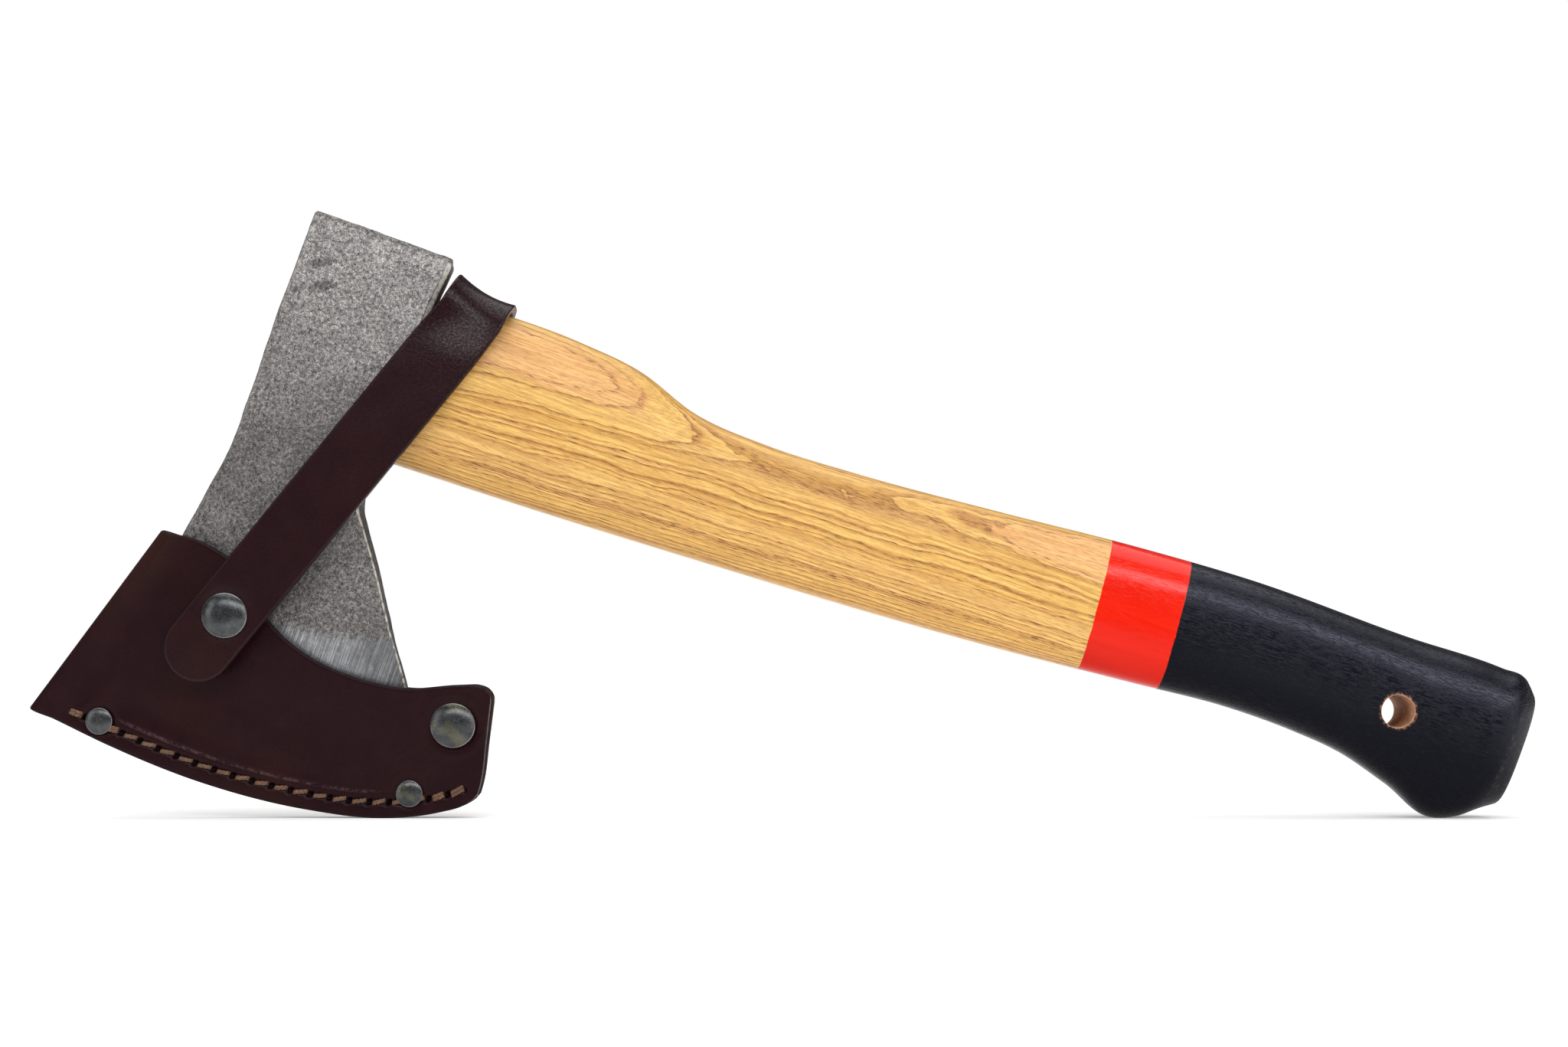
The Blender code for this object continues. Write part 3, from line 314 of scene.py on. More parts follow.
def handle_wood():
    """Lacquered ash with a gloss red band, a satin black grip and bare wood in the hole and on the tongue."""
    look = Look("ash_handle")
    x, z = look.part(0), look.part(2)
    place, number, radius = wood_rings(look)
    fibre = look.noise((0.035, 1.5, 1.5), 4, 0.65)
    streak = look.noise((0.02, 0.35, 0.35), 3, 0.6)
    ring_tone = look.add("TexWhiteNoise", {"W": number}, noise_dimensions="1D")
    colour = look.colours(place, (0.0, tint(158, 106, 48)), (0.12, tint(184, 130, 62)),
                          (0.3, tint(210, 160, 84)), (0.55, tint(230, 182, 100)), (0.95, tint(237, 191, 109)),
                          (1.0, tint(186, 134, 68)))
    pale = look.colours(place, (0.0, tint(186, 132, 72)), (0.14, tint(214, 160, 92)),
                        (0.5, tint(236, 190, 116)))
    colour = look.mix(look.fade(ring_tone, 0.35, 1.0, 0, 0.8), colour, pale)
    pink = look.fade(look.line(x, -0.02, radius), 84.2, 83.4, 0, 0.75)
    colour = look.mix(pink, colour, look.mix(0.85, colour, tint(236, 172, 122)))
    colour = look.mix(look.fade(streak, 0.35, 0.75, 0, 0.4), colour, tint(234, 186, 94))
    colour = look.mix(look.fade(fibre, 0.42, 0.62, 0.46, 0), colour, tint(176, 122, 60))
    dash = look.noise((0.34, 4.6, 4.6), 2, 0.6)
    porous = look.fade(place, 0.4, 0.04)
    pore = look.times(look.fade(dash, 0.5, 0.62), look.line(porous, 0.66, 0.34))
    colour = look.mix(pore, colour, tint(126, 80, 36))

    # raw wood in the hole and inside the head
    from_hole = look.away(look.minus(x, HOLE_AT[0]), look.minus(z, HOLE_AT[1]))
    hole = look.fade(from_hole, HOLE_RADIUS + 0.16, HOLE_RADIUS + 0.05)
    tongue = look.fade(x, SHOULDER_X + 0.2, SHOULDER_X - 0.1)
    raw = look.most(hole, tongue)
    drilled = look.colours(look.noise((0.6, 2.2, 0.6), 4, 0.7), (0.3, tint(150, 104, 74)),
                           (0.6, tint(214, 170, 136)))

    # paint: both edges run square to the handle
    edge = look.line(z, 0.086, x)
    edge = look.line(look.noise(0.5, 3), 0.5, edge)
    painted, black = (look.fade(edge, start - 0.08, start + 0.08) for start in (RED_START, BLACK_START))
    telegraph = look.line(look.fade(dash, 0.5, 0.66), -1.0, look.times(fibre, 0.8))
    red_tone = look.colours(look.noise((0.03, 0.5, 0.5), 3), (0.3, tint(212, 26, 9)),
                            (0.7, tint(222, 34, 13)))
    wear = look.times(look.mark("wear"), look.fade(look.noise(0.7, 4, 0.7), 0.5, 0.62))
    rubbed = look.most(wear, look.times(look.fade(dash, 0.6, 0.72), 0.3))
    black_tone = look.mix(rubbed, tint(9, 9, 16), tint(48, 42, 42))
    rub = look.fade(look.noise(1.2, 3), 0.45, 0.6)
    black_tone = look.mix(look.fade(from_hole, HOLE_RADIUS + 1.0, HOLE_RADIUS + 0.1, 0, 0.85), black_tone,
                          look.mix(rub, tint(30, 28, 28), tint(150, 104, 78)))
    colour = look.mix(painted, colour, look.mix(black, red_tone, black_tone))
    colour = look.mix(raw, colour, drilled)

    lacquer = look.fade(fibre, 0.3, 0.7, 0.3, 0.42)
    red_gloss = look.fade(look.noise(0.25), 0.3, 0.7, 0.1, 0.16)
    black_satin = look.fade(look.noise(1.6, 3), 0.3, 0.7, 0.18, 0.28)
    roughness = look.blend(painted, lacquer, look.blend(black, red_gloss, black_satin))
    roughness = look.blend(raw, roughness, 0.8)
    height = look.blend(painted, look.line(pore, -0.8, look.times(fibre, 0.25)),
                        look.plus(look.times(telegraph, look.blend(black, 0.22, 1.4)), 1.1))
    pebble = look.times(look.noise(2.4, 3, 0.6), look.times(black, 0.6))
    height = look.plus(height, look.times(pebble, painted))
    # painted shade: darker towards the underside, the paint more than the bare wood
    shaded = look.blend(painted, look.fade(z, -58, -30, 0.93, 0.985), look.fade(z, -47, -33, 0.78, 1))
    colour = look.darken(colour, shaded)
    low_red, low_black = look.fade(z, -30, -12, 0.14, 0.3), look.fade(z, -38, -16, 0.09, 0.34)
    shine = look.blend(painted, 0.35, look.blend(black, low_red, low_black))
    bluish = look.mix(black, tint(255, 255, 255), tint(232, 234, 255))
    return look.set(Base_Color=colour, Roughness=roughness, Normal=look.bump(height, 0.045),
                    Specular_IOR_Level=shine, Specular_Tint=bluish)


def end_grain(name, dark, light):
    look = Look(name)
    rings = look.noise((0.4, 0.9, 0.9), 4, 0.7)
    pores = look.fade(look.cells(1.6), 0.22, 0.1)
    colour = look.mix(look.times(pores, 0.6), look.colours(rings, (0.3, dark), (0.65, light)), dark)
    return look.set(Base_Color=colour, Roughness=look.fade(rings, 0.3, 0.7, 0.6, 0.8),
                    Normal=look.bump(rings, 0.1))


def hide(name, along_piece=False):
    """Dark burgundy leather: pebbled and creased grain side, burnished grey cut edges, fibrous flesh side."""
    look = Look(name, along_piece)
    pebble = look.cells(1.15, "DISTANCE_TO_EDGE")
    small = look.cells(2.6, "DISTANCE_TO_EDGE")
    fine = look.noise(2.2, 4, 0.65)
    broad = look.noise(0.03, 3, 0.55)
    mottle = look.noise(0.16, 4, 0.6)
    colour = look.colours(mottle, (0.28, tint(27, 8, 12)), (0.5, tint(31, 10, 14)), (0.75, tint(35, 12, 15)))
    colour = look.mix(look.fade(broad, 0.45, 0.7, 0, 0.4), colour, tint(43, 19, 15))
    colour = look.mix(look.fade(fine, 0.5, 0.72, 0, 0.25), colour, tint(50, 25, 28))
    if not along_piece:  # painted sheen: the hide lighter and browner round the fold, which turns towards the left light
        turned = look.line(look.part(2), -FOLD_SLOPE, look.part(0))
        painted_fold_sheen = look.times(look.fade(turned, 12, -2), look.fade(look.part(2), -140, -104))
        colour = look.mix(look.times(painted_fold_sheen, 0.7), colour, tint(50, 28, 22))
    scuff = look.times(look.fade(look.noise((0.5, 0.5, 2.5), 4, 0.7), 0.66, 0.74),
                       look.fade(look.noise(0.07), 0.5, 0.62))
    colour = look.mix(look.times(scuff, 0.25), colour, tint(84, 56, 56))
    crease = look.times(look.mark("crease"), look.fade(look.noise(0.8, 4, 0.7), 0.42, 0.6))
    colour = look.mix(look.times(crease, 0.7), colour, tint(88, 62, 66))
    # painted shade: the stitch holes near black
    hole = look.mark("hole")
    colour = look.mix(hole, colour, tint(8, 5, 6))
    flesh = look.mark("flesh")
    fibres = look.noise((1.4, 1.4, 1.4), 5, 0.75, 0.8)
    suede = look.colours(fibres, (0.3, tint(36, 22, 19)), (0.7, tint(76, 52, 42)))
    colour = look.mix(flesh, colour, suede)
    cut = look.mark("cut")
    layers = look.noise((0.5, 1.6, 0.5), 4, 0.7)
    burnished = look.colours(layers, (0.3, tint(20, 15, 17)), (0.55, tint(34, 27, 30)),
                             (0.75, tint(66, 58, 60)))
    if along_piece:  # painted highlight: the cut edge lighter where the strap bends over the handle; elsewhere the edge is dark with its dye and painted shade
        along_it = look.part(1)
        raw = look.times(look.fade(along_it, FRONT_RUN + 2, FRONT_RUN + 7),
                         look.fade(along_it, HINGE_S, FRONT_RUN + 20))
        dyed_edge_and_painted_shade = look.mix(0.85, burnished, tint(32, 17, 18))
        painted_lit_edge = look.mix(0.5, burnished, tint(190, 165, 148))
        burnished = look.mix(raw, dyed_edge_and_painted_shade, painted_lit_edge)
    colour = look.mix(cut, colour, burnished)
    roughness = look.fade(fine, 0.3, 0.7, 0.34, 0.24)
    if not along_piece:
        roughness = look.line(look.fade(turned, 12, 4), 0.3, roughness)
    roughness = look.line(flesh, 0.35, roughness)
    roughness = look.line(cut, 0.12, roughness)
    height = look.plus(look.fade(pebble, 0.0, 0.16), look.fade(small, 0.0, 0.22, 0, 0.5))
    height = look.line(fine, 1.1, height)
    height = look.blend(look.most(flesh, cut), height, look.times(fibres, 3.0))
    if along_piece:  # the grain glitters where the bend catches the light
        shine = look.fade(look.noise(1.5, 4, 0.7), 0.36, 0.68, 0.06, 0.34)
        shine = look.blend(look.fade(along_it, FRONT_RUN - 34, FRONT_RUN - 8), 0.15, shine)
    else:
        shine = 0.08
    return look.set(Base_Color=colour, Roughness=roughness, Normal=look.bump(height, 0.008),
                    Specular_IOR_Level=shine)


def gunmetal(name, dark, light, bright):
    """Antique plated metal with a cloudy patina, small scratches and a painted highlight round the rim."""
    look = Look(name)
    cloud = look.noise(0.35, 4, 0.6)
    fine = look.noise(2.5, 4, 0.7)
    colour = look.colours(cloud, (0.3, dark), (0.7, light))
    colour = look.mix(look.fade(fine, 0.5, 0.75, 0, 0.3), colour, tint(110, 108, 100))
    worn = look.fade(look.part(0), 40, 60, 0.05, 0.36)  # most on the two caps at the heel
    brassy = look.times(look.fade(look.noise(0.22, 3, 0.6), 0.5, 0.62), worn)
    colour = look.mix(brassy, colour, tint(104, 100, 68))
    scratch = look.fade(look.noise((6.0, 1.0, 0.6), 3, 0.7), 0.64, 0.72)
    colour = look.mix(look.times(scratch, 0.35), colour, bright)
    # painted highlight: a bright line round the rim
    colour = look.mix(look.times(look.mark("rim"), 0.6), colour, bright)
    roughness = look.fade(fine, 0.3, 0.7, 0.2, 0.34)
    return look.set(Base_Color=colour, Metallic=0.9, Roughness=roughness,
                    Normal=look.bump(look.line(scratch, -0.6, fine), 0.02))


def waxed_thread():
    look = Look("waxed_thread")
    strand = look.noise((1.2, 5.0, 5.0), 4, 0.7)
    colour = look.colours(strand, (0.36, tint(40, 24, 14)), (0.5, tint(84, 54, 32)),
                          (0.64, tint(150, 102, 60)))
    colour = look.mix(look.fade(look.noise(0.12), 0.4, 0.65, 0, 0.45), colour, tint(92, 58, 36))
    return look.set(Base_Color=colour, Roughness=look.fade(strand, 0.3, 0.7, 0.7, 0.5),
                    Normal=look.bump(strand, 0.08), Sheen_Weight=0.1)


# ---------------------------------------------------------------- mesh tools

def smooth_read(points, x):
    """A smooth curve through the points, read at x."""
    xs, ys = np.array(points, float).T
    slopes = np.gradient(ys, xs)
    i = np.clip(np.searchsorted(xs, x) - 1, 0, len(xs) - 2)
    span = xs[i + 1] - xs[i]
    t = (x - xs[i]) / span
    return ((1 + 2 * t) * (1 - t) ** 2 * ys[i] + t * (1 - t) ** 2 * span * slopes[i] + t * t * (3 - 2 * t)
            * ys[i + 1] + t * t * (t - 1) * span * slopes[i + 1])


def bezier(a, b, c, d, count):
    t = np.linspace(0, 1, count + 1)[1:, None]
    a, b, c, d = (np.array(p, float) for p in (a, b, c, d))
    return (1 - t) ** 3 * a + 3 * t * (1 - t) ** 2 * b + 3 * t * t * (1 - t) * c + t ** 3 * d


def run_of(line):
    """The distance along a polyline of each of its points."""
    return np.concatenate([[0], np.cumsum(np.linalg.norm(np.diff(line, axis=0), axis=1))])


def along(line, share):
    """Points of a polyline at shares of its length."""
    line = np.array(line, float)
    run = run_of(line)
    return np.stack([np.interp(np.asarray(share) * run[-1], run, line[:, i]) for i in range(line.shape[1])],
                    -1)


def smooth_step(share):
    share = np.clip(share, 0, 1)
    return share * share * (3 - 2 * share)


def rolled(to_edge, roll):
    """How far a surface has dropped near an edge that is rounded over the distance `roll`."""
    return roll - np.sqrt(roll ** 2 - (roll - np.minimum(to_edge, roll)) ** 2)


def rounded(points, steps=12):
    """A smooth open curve through the points, as a dense polyline."""
    points = np.array(points, float)
    run = run_of(points)
    dense = np.unique(np.concatenate([np.linspace(a, b, steps) for a, b in zip(run, run[1:])]))
    return np.stack([smooth_read(list(zip(run, points[:, i])), dense) for i in range(2)], -1)


def quads(rows, columns, first=0, around=False):
    """Faces between neighbouring rows of a grid of points, joined round if it is a tube."""
    index = first + np.arange(rows * columns).reshape(rows, columns)
    if around:
        index = np.hstack([index, index[:, :1]])
    return np.stack([index[:-1, :-1], index[:-1, 1:], index[1:, 1:], index[1:, :-1]], -1).reshape(-1, 4)


def border(grid):
    """The outermost cells of a grid, once round."""
    return np.concatenate([grid[0], grid[1:, -1], grid[-1, -2::-1], grid[-2:0:-1, 0]])


def slab(outer, inner):
    """Points and faces of a sheet between two grids of points, with a wall round its edge."""
    cells = outer.shape[0] * outer.shape[1]
    rim, rim_in = border(outer), border(inner)
    wall = np.array([rim + (rim_in - rim) * t for t in np.linspace(0, 1, WALL_ROWS)])
    faces = [quads(*outer.shape[:2]), quads(*outer.shape[:2], cells),
             quads(WALL_ROWS, len(rim), 2 * cells, around=True)]
    return np.concatenate([part.reshape(-1, 3) for part in (outer, inner, wall)]), np.concatenate(faces)


def to_world(points):
    return points * MM @ TO_WORLD.T + np.array(STANCE)


def piece(name, points, faces, surface, marks=None, run=None, sharp=38, weld=0.002):
    """A mesh object at its place in the model, from points in the tool frame."""
    points = np.asarray(points, float).reshape(-1, 3)
    mesh = bpy.data.meshes.new(name)
    mesh.from_pydata(to_world(points).tolist(), [], [list(map(int, f)) for f in faces])
    for key, values in (marks or {}).items():
        attribute = mesh.attributes.new(key, "FLOAT", "POINT")
        attribute.data.foreach_set("value", np.asarray(values, np.float32).ravel())
    if run is not None:
        corner_highlights = np.array([loop.vertex_index for loop in mesh.loops])
        places = (np.asarray(run) * MM)[corner_highlights].astype(np.float32)
        mesh.uv_layers.new(name="run").data.foreach_set("uv", places.ravel())
    shape = bmesh.new()
    shape.from_mesh(mesh)
    bmesh.ops.remove_doubles(shape, verts=shape.verts, dist=weld * MM)
    bmesh.ops.dissolve_degenerate(shape, edges=shape.edges, dist=weld * MM / 4)
    bmesh.ops.recalc_face_normals(shape, faces=shape.faces)
    shape.to_mesh(mesh)
    shape.free()
    mesh.shade_smooth()
    mesh.set_sharp_from_angle(angle=math.radians(sharp))
    mesh.materials.append(surface)
    made = bpy.data.objects.new(name, mesh)
    bpy.context.scene.collection.objects.link(made)
    return made


def carve(thing, *cutters, sharp=38):
    """Cuts other closed pieces out of one, and deletes them."""
    for cutter in cutters:
        modifier = thing.modifiers.new(cutter.name, "BOOLEAN")
        modifier.object = cutter
        modifier.solver = "EXACT"
        modifier.operation = "DIFFERENCE"
    mesh = bpy.data.meshes.new_from_object(thing.evaluated_get(bpy.context.evaluated_depsgraph_get()))
    thing.modifiers.clear()
    thing.data = mesh
    mesh.name = thing.name
    mesh.set_sharp_from_angle(angle=math.radians(sharp))
    for cutter in cutters:
        bpy.data.objects.remove(cutter)
    return thing


def roughen(thing, fade, *layers):
    """Moves each vertex along its normal by layers of noise, each given as (size in mm, amount in mm)."""
    mesh = thing.data
    for vertex in mesh.vertices:
        at = vertex.co / MM
        amount = sum(noise.noise(at / size) * height for size, height in layers) * fade(at)
        vertex.co = vertex.co + vertex.normal * amount * MM


def waves(*axes):
    """Noise at every cell of a grid, whose three coordinates are given as grids or numbers."""
    grids = np.broadcast_arrays(*axes)
    return np.reshape([noise.noise(Vector(at)) for at in zip(*(g.ravel() for g in grids))], grids[0].shape)


def superellipse(centre, half_width, half_height, count):
    turns = np.linspace(0, 2 * math.pi, count, endpoint=False)
    s, c = np.sin(turns), np.cos(turns)
    power = 2 / SQUARENESS
    return np.stack([half_width * np.sign(s) * np.abs(s) ** power,
                     centre + half_height * np.sign(c) * np.abs(c) ** power], -1)


def lofted(rings):
    """Points and faces of a tube through rings of equally many points."""
    rings = np.asarray(rings, float)
    return rings.reshape(-1, 3), quads(rings.shape[0], rings.shape[1], around=True)


def closing(ring, steps):
    """Rings that close an end: the ring drawn together on to its middle plane in Y."""
    ring = np.asarray(ring, float)
    made = []
    for share in np.linspace(1, 0, steps + 1)[1:]:
        inner = ring.copy()
        inner[:, 1] *= share
        made.append(inner)
    return made


# ---------------------------------------------------------------- head

def edge_centre():
    """The centre of the cutting edge's arc."""
    chord = HEEL - TOE
    rise = math.sqrt(EDGE_RADIUS ** 2 - (chord.length / 2) ** 2)
    return (TOE + HEEL) / 2 + Vector((-chord.y, chord.x)).normalized() * rise


def cheek_half(z):
    return np.interp(-z, -np.array(CHEEK_Z), CHEEK_Y)


def head_half(x, z):
    """Half the thickness of the head: the forged cheek, or the ground bevel near the edge."""
    centre = edge_centre()
    bevel = EDGE_HALF + EDGE_BEVEL * np.maximum(EDGE_RADIUS - np.hypot(x - centre.x, z - centre.y), 0)
    return np.minimum(cheek_half(z), bevel)


def make_head(surface):
    front = np.concatenate([rounded(HEAD_LEFT, 8), [(-31.5, -145.2), tuple(TOE)]])
    beard = np.concatenate([rounded(HEAD_RIGHT, 8), bezier(HEAD_RIGHT[-1], *HEEL_CURVE, 12)])
    centre = edge_centre()
    shares = np.concatenate([[0.012], np.linspace(0.02, 0.985, 112), [0.993, 1.0]])
    left, right = along(front, shares), along(beard, shares)
    columns, corner_steps, wall_steps = 62, 5, 12
    turn = np.linspace(0, math.pi / 2, corner_steps)
    rings, corner_highlights, walls = [], [], []
    for share, a, b in zip(shares, left, right):
        width = np.linalg.norm(b - a)
        deep = np.clip((share - 0.44) / 0.08, 0, 1)
        chamfer = 1.5 - 0.8 * deep  # down the right side
        flat = np.concatenate([[0], np.linspace(ROUND, width - chamfer, columns), [width]]) / width
        place = a + (b - a) * flat[:, None]
        arc = centre.y - np.sqrt(EDGE_RADIUS ** 2 - (place[:, 0] - centre.x) ** 2)
        place[:, 1] += (arc - np.interp(flat, [0, 1], arc[[0, -1]])) * share ** 3
        thinner = 0.42 * smooth_step((-56 - place[:, 1]) / 20) * np.abs(2 * flat - 1) ** 3
        half = np.maximum(np.minimum(head_half(*place.T), cheek_half(place[:, 1]) * (1 - thinner)), EDGE_HALF)
        near_left, near_right = min(ROUND, half[0] * 0.6), min(chamfer, half[-1] * 0.6)
        # each point carries x, y, z, its painted corner highlight and its painted wall shade
        side = [(p[0], -h, p[1], 0, 0) for p, h in zip(place[1:-1], half[1:-1])]
        # right corner: a flat chamfer
        for k in range(1, corner_steps):
            t = k / (corner_steps - 1)
            p = place[-2] + (place[-1] - place[-2]) * t
            y = -(half[-2] * (1 - t) + (half[-1] - near_right) * t)
            side.append((p[0], y, p[1], 0.9 if t < 1 else 0, 0))
        for y in np.linspace(-(half[-1] - near_right), 0, wall_steps // 2 + 1)[1:]:
            # painted shade on the right wall: strongest next to the faces, weaker low on the blade
            dark = (0.45 + 0.55 * (y / half[-1]) ** 4) * (1 - 0.6 * deep)
            side.append((place[-1][0], y, place[-1][1], 0, dark))
        # left corner: round
        first = []
        # painted shade: the left wall fully darkened
        for y in np.linspace(0, -(half[0] - near_left), wall_steps // 2 + 1)[:-1]:
            first.append((place[0][0], y, place[0][1], 0, 1))
        for t in turn[:-1]:
            p = place[0] + (place[1] - place[0]) * (1 - math.cos(t))
            y = -(half[0] - near_left) - (half[1] - half[0] + near_left) * math.sin(t)
            first.append((p[0], y, p[1], 0.25 * math.sin(2 * t), 0))
        loop = np.array(first + side)
        mirror = loop[::-1][1:-1] * (1, -1, 1, 1, 1)
        ring = np.concatenate([loop, mirror])
        rings.append(ring[:, :3])
        corner_highlights.append(ring[:, 3])
        walls.append(ring[:, 4])
    top = rings[0]
    middle = (top[:, 0].min() + top[:, 0].max()) / 2
    radius = -top[0, 2]
    lead = []
    for t in np.linspace(0, math.pi / 2, 6)[1:]:
        inset = radius * (1 - math.cos(t)) * 0.8
        ring = top.copy()
        ring[:, 0] = middle + (top[:, 0] - middle) * (1 - inset / np.ptp(top[:, 0]))
        ring[:, 1] = top[:, 1] * (1 - inset / CHEEK_Y[0])
        ring[:, 2] = -radius + radius * math.sin(t)
        lead.append(ring)
    caps, foot = closing(lead[-1], 9), closing(rings[-1], 1)
    none = np.zeros(len(top))
    corner_highlights = [none] * (len(caps) + len(lead)) + corner_highlights + [none] * len(foot)
    # painted shade on the poll's top face and on its rounded edge
    walls = [none + 0.7] * len(caps) + [none + 0.4] * len(lead) + walls + [none] * len(foot)
    points, faces = lofted(caps[::-1] + lead[::-1] + rings + foot)
    # beside the poll the right wall runs in towards the back
    depth = 0.5 + points[:, 1] / (2 * max(CHEEK_Y))
    points[:, 0] -= (POLL_UNDERCUT * smooth_step((60 + points[:, 2]) / 16) * depth
                     * np.clip((points[:, 0] - front[0][0]) / (beard[0][0] - front[0][0]), 0, 1) ** 2)
    # marks for the painted highlight on the corners and the painted shade on the walls
    marks = {"painted_corner_highlight": np.concatenate(corner_highlights), "wall": np.concatenate(walls)}
    head = piece("head_forged", points, faces, surface, marks)
    # the ground bevel is smoother than the forging
    roughen(head, lambda at: 0.25 if head_row(at) > EDGE_RADIUS - 30 else 1.0, (9.0, 0.26), (2.6, 0.11),
            (1.1, 0.05))
    section = superellipse(EYE_Z, EYE_HALF_WIDTH, EYE_HALF_HEIGHT, 72)
    eye = [[(x, y, z) for y, z in section] for x in (-60, 60)]
    points, faces = lofted(eye)
    faces = [list(f) for f in faces] + [list(range(72)), list(range(72, 144))]
    return carve(head, piece("eye_cutter", points, faces, surface), sharp=32)


def head_row(at):
    """Distance from the centre of the edge's arc, for a point of the model in mm."""
    tool = np.array(at - STANCE / MM) @ TO_WORLD
    centre = edge_centre()
    return math.hypot(tool[0] - centre.x, tool[2] - centre.y)


# ---------------------------------------------------------------- handle

def make_handle(surface):
    sides = 88
    grip = np.concatenate([SHOULDER_X + np.array([0, 0.15, 0.6, 1.4]), np.arange(24, 320, 1.6),
                           np.arange(320, 336.2, 0.9), [336.5, 337.0, 338.5, 340.3, 340.8]])
    rings, wear = [], []
    snug = EYE_HALF_WIDTH - EYE_GAP
    tongue = superellipse(EYE_Z, snug, EYE_HALF_HEIGHT - EYE_GAP, sides)
    start = np.array([(TONGUE_END_X, y, z) for y, z in tongue])
    for x in (TONGUE_END_X, TONGUE_END_X + 0.4, SHOULDER_X - 0.1, SHOULDER_X):
        inset = 0.25 if x == TONGUE_END_X else 0
        rings.append(start * (0, (snug - inset) / snug, 1) + (x, 0, 0))
        wear.append(np.zeros(sides))
    for x in grip:
        top, bottom, half = (smooth_read(edge, x) for edge in (HANDLE_TOP, HANDLE_BOTTOM, HANDLE_HALF))
        inset = ROUND - math.sqrt(max(0.0, ROUND ** 2 - (ROUND - min(x - SHOULDER_X, ROUND)) ** 2))
        if x > 340.5:
            inset = 0.3
        section = superellipse((top + bottom) / 2, half - inset, (top - bottom) / 2 - inset, sides)
        rings.append([(x, y, z) for y, z in section])
        rim = math.exp(-((x - 336.6) / 1.0) ** 2) + math.exp(-((x - 340.6) / 0.7) ** 2)
        knob = 0.6 * math.exp(-((x - 326) / 3.0) ** 2) * (section[:, 1] < bottom + 1.5)
        wear.append(np.minimum(1, rim + knob))
    points, faces = lofted(closing(rings[0], 8)[::-1] + rings + closing(rings[-1], 8))
    wear = [np.zeros(sides)] * 8 + wear + [np.zeros(sides)] * 8
    handle = piece("handle_ash", points, faces, surface, {"wear": np.concatenate(wear)}, sharp=30)
    cutters = [round_cutter("hole_cutter", (HOLE_AT[0], 0, HOLE_AT[1]), "Y", HOLE_RADIUS, 30, surface)]
    kerf = []
    for x, wide in ((TONGUE_END_X - 2, 1.6), (TONGUE_END_X + 28.3, 0.7)):
        kerf.append([(x, y * wide, EYE_Z + z * KERF_HALF_HEIGHT) for y,
                     z in ((-1, -1), (1, -1), (1, 1), (-1, 1))])
    points, faces = lofted(kerf)
    cutters.append(piece("kerf_cutter", points, [list(f) for f in faces] + [[0, 1, 2, 3], [4, 5, 6, 7]],
                         surface))
    profile = [(5.9, 2.0), (5.9, -9.3), (4.2, -9.3), (4.2, 2.0)]
    cutters.append(spun("ring_cutter", profile, (TONGUE_END_X, 0, EYE_Z), "-X", surface, closed=True))
    return carve(handle, *cutters, sharp=30)


def axes(facing):
    """The axis of a turned piece and two directions square to it."""
    return {"Y": ((0, 1, 0), (1, 0, 0), (0, 0, 1)), "-Y": ((0, -1, 0), (1, 0, 0), (0, 0, 1)),
            "-X": ((-1, 0, 0), (0, 1, 0), (0, 0, 1))}[facing]


def round_cutter(name, at, facing, radius, half_length, surface, sides=64):
    return spun(name, [(0, half_length), (radius, half_length), (radius, -half_length), (0, -half_length)],
                at, facing, surface, sides)


def spun(name, profile, at, facing, surface, sides=72, closed=False, rim=None, sharp=38):
    """A turned solid from (radius, height) points; rim marks the points between two radii."""
    axis, u, v = (np.array(a, float) for a in axes(facing))
    turns = np.linspace(0, 2 * math.pi, sides, endpoint=False)
    profile = list(profile) + ([profile[0]] if closed else [])
    rings = [np.array(at) + axis * height + radius * (np.cos(turns)[:, None] * u + np.sin(turns)[:, None] * v)
             for radius, height in profile]
    points, faces = lofted(rings)
    marks = None
    if rim:
        marks = {"rim": np.repeat([1.0 if rim[0] <= radius <= rim[1] and height > 0 else 0.0 for radius,
                                   height in profile], sides)}
    return piece(name, points, faces, surface, marks, sharp=sharp, weld=0.0005)


# ---------------------------------------------------------------- sheath

def panel_gap(x, z):
    """Half the gap between the panels: round the blade, and drawn in on the welt past the heel."""
    welt = WELT_HALF + 0.3
    share = 1 - 0.6 * np.clip((x - 56) / 13, 0, 1)
    return welt + np.maximum(cheek_half(z) + BLADE_CLEARANCE - welt, 0) * share


def surface_y(x, z):
    """The outer face of a panel."""
    return panel_gap(x, z) + LEATHER


def crease_x(z):
    """The middle of the hide where it turns back at the fold."""
    return FOLD_TOP[0] - (FOLD_TOP[1] - z) * FOLD_SLOPE + LEATHER / 2


def fold_depth(z):
    """How far back from the crease the fold ends and the flat panel begins."""
    return np.minimum(FOLD_DEPTH, panel_gap(crease_x(z), z) + LEATHER / 2)


STITCH_RUN = rounded(STITCHES, 60)


def to_line(x, z):
    """Signed height above the stitch line, and the distance along it, of points (x, z)."""
    x, z = np.asarray(x, float), np.asarray(z, float)
    run = run_of(STITCH_RUN)
    flat = np.stack([x.ravel(), z.ravel()], -1)
    best, height, at = np.full(len(flat), 1e9), np.zeros(len(flat)), np.zeros(len(flat))
    for i, (a, b) in enumerate(zip(STITCH_RUN, STITCH_RUN[1:])):
        step = b - a
        t = np.clip((flat - a) @ step / (step @ step), 0, 1)
        off = flat - (a + t[:, None] * step)
        away = np.hypot(*off.T)
        closer = away < best
        best[closer] = away[closer]
        height[closer] = (np.sign(step[0] * off[:, 1] - step[1] * off[:, 0]) * away)[closer]
        at[closer] = (run[i] + t * (run[i + 1] - run[i]))[closer]
    return height.reshape(x.shape), at.reshape(x.shape), run[-1]


